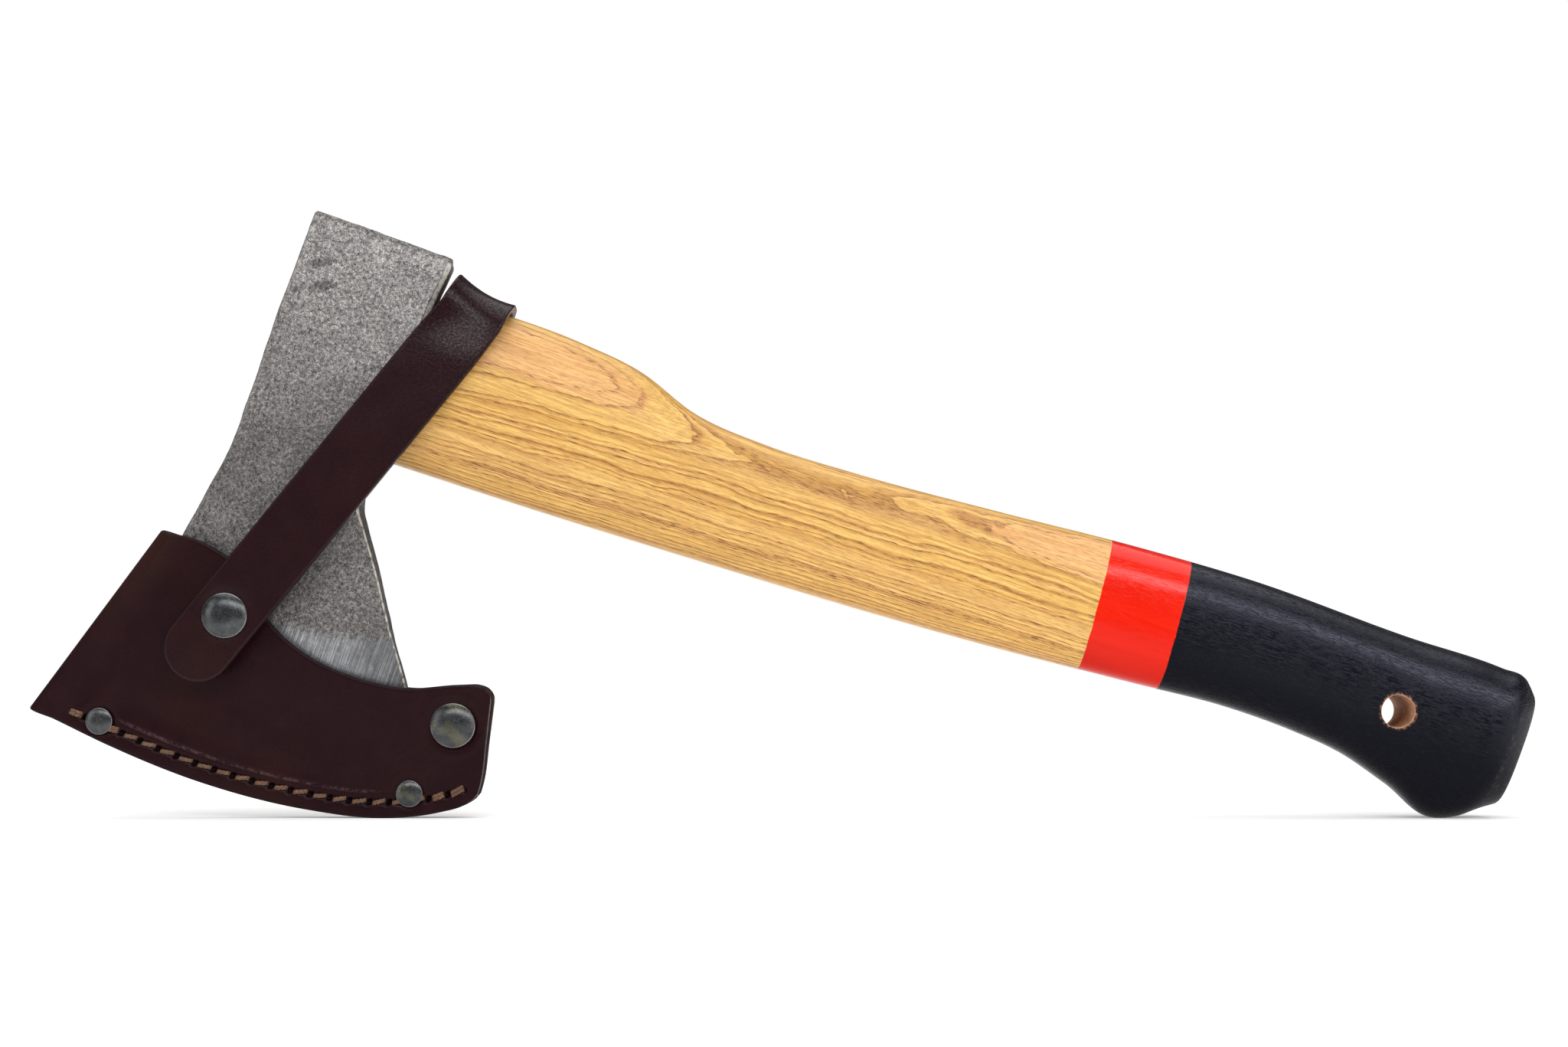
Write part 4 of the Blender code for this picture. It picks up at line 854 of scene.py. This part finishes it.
def make_sheath(surface):
    mouth, seam, heel_side = rounded(SHEATH_MOUTH), rounded(SHEATH_FOOT), rounded(SHEATH_HEEL)
    # rows and columns at these distances from the cut edges, and evenly between them
    ends = np.array([0, 0.08, 0.22, 0.45, 0.8, 1.4])
    lows = np.array([0, 0.08, 0.22, 0.45, 0.8, 1.4, 2.1, 2.8, 3.3, 3.7, 4.0, 4.3, 4.6, 4.9, 5.2, 5.5, 5.8,
                     6.1, 6.5, 6.9, 7.3, 7.6, 7.9, 8.2, 8.5, 8.9, 9.6])
    fold = np.linspace(0, math.pi / 2, 15)

    def fractions(length, low_end, high_end, count):
        middle = np.linspace(low_end[-1], length - high_end[-1], count)[1:-1]
        return np.concatenate([low_end, middle, (length - high_end)[::-1]]) / length

    u = fractions(112.0, np.array([0.0]), ends, 300)
    mouth_at, seam_at = along(mouth, u), along(seam, u)
    columns = []
    for top, foot, share in zip(mouth_at, seam_at, u):
        v = fractions(np.linalg.norm(top - foot), ends, lows, 36)
        if not columns:
            z = top[1] + (foot[1] - top[1]) * v
            left = np.stack([crease_x(z) + fold_depth(z), z], -1)
            left -= left[0] + (left[-1] - left[0]) * ((left[:, 1:] - left[0, 1]) / (left[-1, 1] - left[0, 1]))
        ruled = heel_side[0] + (heel_side[-1] - heel_side[0]) * v[:, None]
        straight = top + (foot - top) * v[:, None]
        columns.append(straight + left * (1 - share) + (along(heel_side, v) - ruled) * share)
    grid = np.stack(columns, 1)
    x, z = grid[..., 0], grid[..., 1]
    fold_z = z[:, 0]
    bent = fold_depth(fold_z)
    # distance to the cut edge, for rounding it
    to_top = np.array([run_of(grid[:, j]) for j in range(len(u))]).T
    to_end = np.array([run_of(row[::-1])[::-1] for row in grid])
    to_edge = np.minimum(np.minimum(to_top, to_top[-1] - to_top), to_end)
    drop = rolled(to_edge, 0.8)

    rise, run, total = to_line(x, z)
    inside = np.clip(np.minimum(run, total - run) / 1.2, 0, 1) * (np.abs(rise) < 3)
    trough = np.exp(-(rise / 0.85) ** 2) * inside
    crease_fade = np.clip((x + 25) / 6, 0, 1) * np.clip((53 - x) / 8, 0, 1)
    crease = np.exp(-((rise - 2.8) / 0.35) ** 2) * crease_fade
    phase = (run / STITCH_PITCH + 0.5) % 1 - 0.5
    off_centre = (phase * STITCH_PITCH - rise * 0.5) / 0.62
    slot = np.exp(-off_centre ** 4) * np.exp(-((rise + 0.15) / 0.85) ** 4) * inside
    dents = np.zeros_like(x)
    for at, radius in ((TOE_RIVET_AT, SMALL_CAP), (EDGE_RIVET_AT, SMALL_CAP), (HEEL_RIVET_AT, LARGE_CAP)):
        away = np.hypot(x - at[0], z - at[1]) - radius
        dents += 0.35 * np.exp(-np.clip(away, 0, None) / 0.9) - 0.10 * np.exp(-((away - 2.0) / 1.0) ** 2)
    sink = 0.42 * trough + 0.2 * crease + 1.1 * slot + dents

    def panel(side, offset, shaped):
        """Points of one panel from the fold outwards, `offset` mm from the inner face."""
        y = panel_gap(x, z) + offset
        if shaped:
            y = y - drop - sink + 0.22 * waves(x / 17, side * 3.0, z / 17)
        else:
            y = y + drop
        flat = np.stack([x, side * y, z], -1)
        t = fold[:-1]
        reach = (bent + (offset - LEATHER / 2))[:, None]
        edge_drop = (drop if shaped else -drop)[:, :1]
        out = y[:, :1] * np.sin(t)
        bend_x = (crease_x(fold_z) - (offset - LEATHER / 2))[:, None]
        bend_x = bend_x + edge_drop * np.cos(t) + reach * (1 - np.cos(t))
        bend = np.stack([bend_x, side * out, np.repeat(fold_z[:, None], len(t), 1)], -1)
        return np.concatenate([bend, flat], 1)

    def both(offset, shaped):
        return np.concatenate([panel(1, offset, shaped)[:, :0:-1], panel(-1, offset, shaped)], 1)

    outer, inner = both(LEATHER, True), both(0, False)
    points, faces = slab(outer, inner)

    def spread(values):
        padded = np.concatenate([np.repeat(values[:, :1], len(fold) - 1, 1), values], 1)
        return np.concatenate([padded[:, :0:-1], padded], 1)

    cut = np.clip((0.5 - spread(to_edge)) / 0.4, 0, 1).ravel()
    zero = np.zeros(cut.size)
    walls = np.zeros(len(points) - 2 * cut.size)
    # the hole mark paints shade into the stitch slots
    marks = {"cut": np.concatenate([cut, cut, walls + 1]), "flesh": np.concatenate([zero, zero + 1, walls]),
             "crease": np.concatenate([spread(crease).ravel(), zero, walls]),
             "hole": np.concatenate([spread(np.clip(slot * 2.2 - 0.5, 0, 1)).ravel(), zero, walls])}
    return piece("sheath_hide", points, faces, surface, marks, sharp=60)


def make_welt(surface):
    """The strip between the panels; only its edge shows."""
    low, high = (along(rounded(line), np.linspace(0, 1, 150)) for line in (WELT_FOOT, WELT_TOP))
    rings = []
    for a, b in zip(low, high):
        towards = (b - a) / np.linalg.norm(b - a)
        ring = []
        for y, inset in ((-WELT_HALF, 0.35), (-1.0, 0.1), (-0.5, 0), (0, 0.04), (0.5, 0), (1.0, 0.1),
                         (WELT_HALF, 0.35)):
            p = a + towards * (inset + 0.12 * noise.noise(Vector((a[0] * 0.6, y, 3.0))))
            ring.append((p[0], y, p[1]))
        ring += [(b[0], WELT_HALF, b[1]), (b[0], -WELT_HALF, b[1])]
        rings.append(ring)
    points, faces = lofted(rings)
    count = len(rings[0])
    faces = [list(f) for f in faces] + [list(range(count)), list(range(len(points) - count, len(points)))]
    marks = {"cut": np.ones(len(points)), "flesh": np.zeros(len(points))}
    return piece("welt_strip", points, faces, surface, marks, sharp=50)


def make_stitches(name, side, surface):
    """One thread as it shows: a twisted length for each stitch, its ends sunk in their holes."""
    run = run_of(STITCH_RUN)
    total = run[-1]
    points, faces, count = [], [], 0
    starts = np.arange(0.0, total - 2.0, STITCH_PITCH)
    lengths, sides = 26, 14
    for number, start in enumerate(starts):
        doubled = number < 3 or number > len(starts) - 3
        uneven = noise.noise(Vector((number * 2.3, side * 4.0, 7.5)))
        for strand in ((-0.42, 0.42) if doubled else (0.0,)):
            reach = STITCH_PITCH * (0.5 + (0.33 + 0.04 * uneven) * np.linspace(-1, 1, lengths))
            at = start + reach
            behind, centre, ahead = (np.stack([np.interp(at + step, run, STITCH_RUN[:, i]) for i in range(2)],
                                              -1) for step in (-0.4, 0, 0.4))
            ahead = ahead - behind
            ahead /= np.linalg.norm(ahead, axis=1)[:, None]
            up = np.stack([-ahead[:, 1], ahead[:, 0]], -1)
            jitter = noise.noise(Vector((number * 1.7, side, 0.5)))
            slant = (0.2 + 0.14 * jitter) * (reach - STITCH_PITCH / 2)
            centre = centre + up * (slant + strand + 0.08 * jitter)[:, None]
            middle = np.abs(np.linspace(-1, 1, lengths))
            lift = 0.12 - 1.25 * np.clip(middle - 0.62, 0, 1) ** 1.5 / 0.38 ** 0.5 - 0.10 * middle ** 2
            depth = surface_y(centre[:, 0], centre[:, 1]) + lift
            thick = (0.52 if doubled else 0.6) * (1 + 0.12 * jitter) * (1 - 0.12 * middle ** 3)
            turn = np.linspace(0, 2 * math.pi, sides, endpoint=False)
            for k in range(lengths):
                lobes = 1 + 0.11 * np.cos(3 * (turn + (at[k] + strand) * 1.9))
                radial = thick[k] * lobes
                offset_up = np.cos(turn) * radial
                offset_out = np.sin(turn) * radial * 0.8
                points.append(np.stack([centre[k, 0] + up[k, 0] * offset_up, side * (depth[k] + offset_out),
                                        centre[k, 1] + up[k, 1] * offset_up], -1))
            faces.append(quads(lengths, sides, count, around=True))
            for first in (count, count + (lengths - 1) * sides):
                faces.append(np.array([range(first, first + sides)]))
            count += lengths * sides
    return piece(name, np.concatenate(points), [f for group in faces for f in group.tolist()], surface,
                 sharp=80)


# ---------------------------------------------------------------- strap

def to_ridge(x, z):
    """Place along the strap's top ridge, and height square to it."""
    c, s = math.cos(RIDGE_TILT), math.sin(RIDGE_TILT)
    return x * c - z * s, x * s + z * c


def from_ridge(a, y, n):
    c, s = math.cos(RIDGE_TILT), math.sin(RIDGE_TILT)
    return np.stack([a * c + n * s, y, n * c - a * s], -1)


SNAP_ALONG, SNAP_N = to_ridge(*SNAP_AT)
BEND_N = RIDGE_N - STRAP_BEND
FRONT_RUN, ARC, TOP_RUN = BEND_N - SNAP_N, STRAP_BEND * math.pi / 2, 2 * (STRAP_Y - STRAP_BEND)
HINGE_S = FRONT_RUN + 2 * ARC + TOP_RUN
STRAP_DRIFT, STRAP_NARROWED, BELOW_SNAP = 2.2, 0.07, 40
STRAP_BACK_LINE = [(STRAP_Y, BEND_N), (STRAP_Y, -58), (10.4, -99), (7.7, -127), (6.9, -136)]


def strap_line():
    """The strap's middle line from below its tip to its tail: distance, y and height square to the ridge."""
    turns = np.linspace(0, math.pi / 2, 24)[1:]
    line = [(-STRAP_Y, SNAP_N - BELOW_SNAP), (-STRAP_Y, SNAP_N), (-STRAP_Y, BEND_N)]
    line += [(-STRAP_Y + STRAP_BEND * (1 - math.cos(t)), BEND_N + STRAP_BEND * math.sin(t)) for t in turns]
    line += [(STRAP_Y - STRAP_BEND * (1 - math.sin(t)), BEND_N + STRAP_BEND * math.cos(t))
             for t in np.linspace(0, math.pi / 2, 24)]
    line += STRAP_BACK_LINE[1:]
    line = np.array(line)
    run = run_of(line) - BELOW_SNAP
    dense = np.arange(run[0], run[-1], 0.25)
    y, n = np.interp(dense, run, line[:, 0]), np.interp(dense, run, line[:, 1])
    window = np.hanning(15)
    window /= window.sum()
    y, n = (np.convolve(np.pad(v, 7, "reflect", reflect_type="odd"), window, "valid") for v in (y, n))
    return dense, y, n


STRAP_LINE = strap_line()


def strap_point(s, q, turn):
    """A point of the strap's middle surface; also used for its slopes, so everything is an array."""
    run, ys, ns = STRAP_LINE
    forward = np.minimum(s, FRONT_RUN) * math.tan(STRAP_SKEW)
    forward = forward - STRAP_DRIFT * (smooth_step((s - FRONT_RUN) / (HINGE_S - FRONT_RUN))
                                       - np.clip((s - HINGE_S) / FRONT_RUN, 0, 1))
    a = SNAP_ALONG + forward - np.maximum(s - HINGE_S, 0) * math.tan(STRAP_BACK_SKEW) + q * np.cos(turn)
    at = s - q * np.sin(turn)
    return from_ridge(a, np.interp(at, run, ys), np.interp(at, run, ns))


def make_strap(surface):
    half = STRAP_WIDTH / 2
    squeeze = math.cos(STRAP_SKEW)
    tip_turns = np.radians([-88.5, -86, -83, -79.5, -76, -72, -67, -61, -54, -46, -38, -30, -22, -14, -7, 0])
    tip = [((half + half * math.sin(t) - STRAP_TIP) * squeeze, half * math.cos(t), half - half * math.sin(-t))
           for t in tip_turns]
    tail = HINGE_S + FRONT_RUN + STRAP_TAIL
    body = np.linspace(tip[-1][0], tail - 1.2, 230)[1:]
    rows = tip + [(s, half, 99) for s in body] + [(tail - d, half, d) for d in (0.7, 0.4, 0.2, 0.06, 0)]
    keys = [-60, 8, 55, FRONT_RUN, HINGE_S, HINGE_S + 50, HINGE_S + 91, tail + 20]
    skews = [STRAP_SKEW, STRAP_SKEW, STRAP_SKEW / 2, 0, 0, -STRAP_BACK_SKEW / 2, -STRAP_BACK_SKEW,
             -STRAP_BACK_SKEW]
    edge = np.array([0, 0.05, 0.16, 0.34, 0.6, 0.95]) / half
    columns = np.concatenate([-1 + edge, np.linspace(-0.84, 0.84, 19), (1 - edge)[::-1]])
    s = np.array([r[0] for r in rows])[:, None]
    wide = np.array([r[1] for r in rows])[:, None]
    turn = np.interp(s, keys, skews)
    across = columns[None] * wide
    bent = smooth_step((s - FRONT_RUN + 14) / 22) * smooth_step((HINGE_S + 14 - s) / 22)
    q = across * (1 - STRAP_NARROWED * bent) / np.cos(np.where(s < HINGE_S, STRAP_SKEW, STRAP_BACK_SKEW)
                                                      - np.abs(turn))
    s, turn = s + 0 * q, turn + 0 * q
    # distance to the cut edge in the flat strip
    from_centre = (tip[-1][0] - s) / squeeze
    to_edge = np.where(from_centre > 0, half - np.hypot(from_centre, across), half - np.abs(across))
    to_edge = np.minimum(np.clip(to_edge, 0, None), (tail - s))
    middle = strap_point(s, q, turn)
    d = 0.3
    slope_s = strap_point(s + d, q, turn) - strap_point(s - d, q, turn)
    slope_q = strap_point(s, q + d, turn) - strap_point(s, q - d, turn)
    normal = np.cross(slope_s, slope_q)
    normal /= np.linalg.norm(normal, axis=-1)[..., None]
    at_snap = normal[np.abs(s[:, 0] - 0).argmin(), len(columns) // 2]
    if at_snap[1] > 0:
        normal = -normal
    # the fold over the handle cups: its edges stand a little higher than its middle
    over = smooth_step(np.clip((s - FRONT_RUN + 14) / 16, 0, 1) * np.clip((HINGE_S + 14 - s) / 16, 0, 1))
    cup = over * (1.3 * (across / half) ** 2 - 1.4)
    drop = rolled(to_edge, 0.55)
    pressed = 0.3 * np.exp(-np.clip(np.hypot(s, q) - LARGE_CAP, 0, None) / 1.1)
    lift = cup + 0.1 * waves(s / 14, across / 9, 5.0)
    outer = middle + normal * (STRAP_THICK / 2 - drop - pressed + lift)[..., None]
    inner = middle - normal * (STRAP_THICK / 2 - drop - lift)[..., None]
    points, faces = slab(outer, inner)
    run = np.stack([across, s], -1)
    uv = np.concatenate([run.reshape(-1, 2), run.reshape(-1, 2), np.tile(border(run), (WALL_ROWS, 1))])
    near = np.clip((0.12 - to_edge) / 0.1, 0, 1).ravel()
    zero, walls = np.zeros(near.size), np.zeros(len(points) - 2 * near.size)
    marks = {"cut": np.concatenate([near, near, walls + 1]), "flesh": np.concatenate([zero, zero + 1, walls])}
    strap = piece("strap_hide", points, faces, surface, marks, run=uv, sharp=60)

    def world(y, n):
        return tuple(to_world(from_ridge(SNAP_ALONG + FRONT_RUN * math.tan(STRAP_SKEW), y, n)))

    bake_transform(strap)
    return strap


# ---------------------------------------------------------------- fasteners

def domed(radius, height, lip=0.4):
    """Profile of a shallow domed cap with a rounded edge, from its centre to its base."""
    shares = np.array([0, 0.15, 0.3, 0.45, 0.58, 0.7, 0.8, 0.88, 0.94, 0.975])
    crown = [(radius * t, lip + (height - lip) * (1 - t ** 3.2)) for t in shares]
    return crown + [(radius - 0.02, 0.75 * lip), (radius, 0.5 * lip), (radius - 0.04, 0.2 * lip),
                    (radius - 0.15, 0)]


def make_fasteners(dark, pale):
    def base(at):
        return surface_y(*at) + 0.1

    def cap(name, at, y, facing, radius, height, shank):
        profile = domed(radius, height) + [(1.5, 0), (1.5, -shank), (0, -shank)]
        return spun(name, profile, (at[0], y, at[1]), facing, dark, rim=(radius * 0.96, radius), sides=96,
                    sharp=75)

    def post(name, at, y, facing, radius, height, shank):
        profile = [(0, height), (radius * 0.35, height), (radius * 0.7, height * 0.82),
                   (radius * 0.93, height * 0.5), (radius, height * 0.18), (radius - 0.1, 0), (0.8, 0),
                   (0.8, -shank), (0, -shank)]
        return spun(name, profile, (at[0], y, at[1]), facing, pale, rim=(radius * 0.9, radius), sides=96)

    made = []  # (piece, body, the CAD node it replaces)
    for name, at, radius in (("toe_rivet", TOE_RIVET_AT, SMALL_CAP), ("edge_rivet", EDGE_RIVET_AT, SMALL_CAP),
                             ("heel_rivet", HEEL_RIVET_AT, LARGE_CAP)):
        y = base(at)
        made.append((cap(f"{name}_dome", at, -y, "-Y", radius, 0.29 * radius, y), "sheath", f"{name}_cap"))
        made.append((post(f"{name}_base", at, y, "Y", radius * 0.94, 1.1, y), "sheath", f"{name}_post"))
    outside = STRAP_Y + STRAP_THICK / 2
    made.append((cap("snap_dome", SNAP_AT, -outside + 0.2, "-Y", LARGE_CAP, 1.9, 3.4), "strap_front",
                 "snap_cap"))
    back = surface_y(*STRAP_RIVET_AT) + 0.45 + STRAP_THICK + 0.1
    made.append((cap("strap_rivet_dome", STRAP_RIVET_AT, back, "Y", SMALL_CAP, 1.4, 4.0), "sheath",
                 "strap_rivet_cap"))
    x, z = SNAP_AT
    seat = surface_y(x, z) + 0.1
    stud = [(0, 3.15), (1.3, 3.13), (1.9, 2.95), (2.3, 2.6), (2.42, 2.2), (2.2, 1.8), (1.9, 1.5), (1.85, 1.1),
            (2.0, 0.85), (2.6, 0.74), (4.1, 0.62), (4.4, 0.35), (4.4, 0), (0, 0)]
    made.append((spun("snap_stud_turned", stud, (x, -seat, z), "-Y", pale, rim=(2.2, 2.5), sides=80),
                 "sheath", "snap_stud"))
    inner = STRAP_Y - STRAP_THICK / 2 - 0.3
    lip = seat + 1.0 - inner
    socket = [(1.85, 0), (5.1, 0), (5.4, -0.2), (5.4, -0.55), (5.1, -0.75), (4.9, -0.85), (4.9, lip + 0.25),
              (4.7, lip), (3.5, lip), (3.3, lip + 0.15), (3.35, lip + 0.4), (3.9, lip + 0.55), (3.95, -0.7),
              (1.85, -0.7)]
    made.append((spun("snap_socket_turned", socket, (x, -inner, z), "-Y", pale, rim=(4.7, 5.5), closed=True,
                      sides=96), "strap_front", "snap_socket"))
    for thing, body, node in made:
        add(thing, body, node)


# ---------------------------------------------------------------- the model

def dress(node, surface):
    """Gives a CAD node that stays a better material."""
    thing = frame["nodes"][node]
    thing.data.materials.clear()
    thing.data.materials.append(surface)


def add(thing, body, node):
    """Puts a piece on its body in place of its CAD node."""
    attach(thing, body)
    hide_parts(node)


def make_model():
    leather, thread = hide("sheath_leather_look"), waxed_thread()
    dark = gunmetal("gunmetal_cap", tint(54, 55, 57), tint(84, 85, 86), tint(168, 168, 166))
    pale = gunmetal("plated_post", tint(104, 104, 104), tint(142, 141, 138), tint(206, 204, 200))
    add(make_head(forged_steel()), "hatchet", "head")
    add(make_handle(handle_wood()), "hatchet", "handle")
    add(make_sheath(leather), "sheath", "sheath_leather")
    add(make_welt(leather), "sheath", "sheath_welt")
    for name, side in (("front", -1), ("back", 1)):
        add(make_stitches(f"stitches_{name}", side, thread), "sheath",
            f"stitch_thread_{name}")
    strap = make_strap(hide("strap_leather_look", along_piece=True))
    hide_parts("strap_front", "strap_back")
    make_fasteners(dark, pale)
    dress("handle_wedge", end_grain("wedge_end_grain", tint(128, 88, 48), tint(186, 142, 92)))
    for node in ("ring_wedge", "snap_post", "snap_ring_spring", "strap_rivet_post"):
        dress(node, pale)


def area_light(name, at, aim, size, power, colour):
    data = bpy.data.lights.new(name, "AREA")
    data.shape = "RECTANGLE"
    data.size, data.size_y = size
    data.energy = power
    data.color = colour
    light = bpy.data.objects.new(name, data)
    light.location = at
    light.rotation_euler = (Vector(aim) - Vector(at)).to_track_quat("-Z", "Y").to_euler()
    bpy.context.scene.collection.objects.link(light)


def make_studio():
    scene = bpy.context.scene
    scene.view_settings.view_transform = "Standard"
    scene.view_settings.look = "None"
    world = bpy.data.worlds.new("studio")
    scene.world = world
    world.use_nodes = True
    tree = world.node_tree
    seen, lit = tree.nodes["Background"], tree.nodes.new("ShaderNodeBackground")
    path, pick = tree.nodes.new("ShaderNodeLightPath"), tree.nodes.new("ShaderNodeMixShader")
    seen.inputs["Color"].default_value = (1, 1, 1, 1)
    seen.inputs["Strength"].default_value = 1.0
    lit.inputs["Color"].default_value = (0.96, 0.98, 1, 1)
    lit.inputs["Strength"].default_value = WORLD_LIGHT
    tree.links.new(path.outputs["Is Camera Ray"], pick.inputs[0])
    tree.links.new(lit.outputs[0], pick.inputs[1])
    tree.links.new(seen.outputs[0], pick.inputs[2])
    tree.links.new(pick.outputs[0], tree.nodes["World Output"].inputs["Surface"])
    for softbox in SOFTBOXES:
        area_light(*softbox)
    sun = bpy.data.lights.new("overhead", "SUN")
    sun.energy, sun.angle = OVERHEAD_LIGHT, math.radians(70)
    scene.collection.objects.link(bpy.data.objects.new("overhead", sun))
    bpy.ops.mesh.primitive_plane_add(size=1)
    floor = bpy.context.object
    floor.name = "floor"
    floor.scale = (14, 7.45, 1)
    floor.location = (0, 3.275, 0)
    look = Look("pale_floor")
    look.set(Base_Color=look.mix(look.noise(0.004), (0.88, 0.88, 0.88, 1), (0.9, 0.9, 0.9, 1)), Roughness=0.9,
             Specular_IOR_Level=0.1, Emission_Color=(1, 1, 1, 1), Emission_Strength=FLOOR_GLOW)
    floor.data.materials.append(look.material)


def make_camera():
    data = bpy.data.cameras.new("camera")
    data.lens, data.sensor_width = LENS, SENSOR
    data.shift_y = CAMERA_SHIFT
    camera = bpy.data.objects.new("camera", data)
    camera.location = CAMERA_AT
    camera.rotation_euler = (math.pi / 2, 0, 0)
    bpy.context.scene.collection.objects.link(camera)
    bpy.context.scene.camera = camera


make_camera()
make_studio()
make_model()
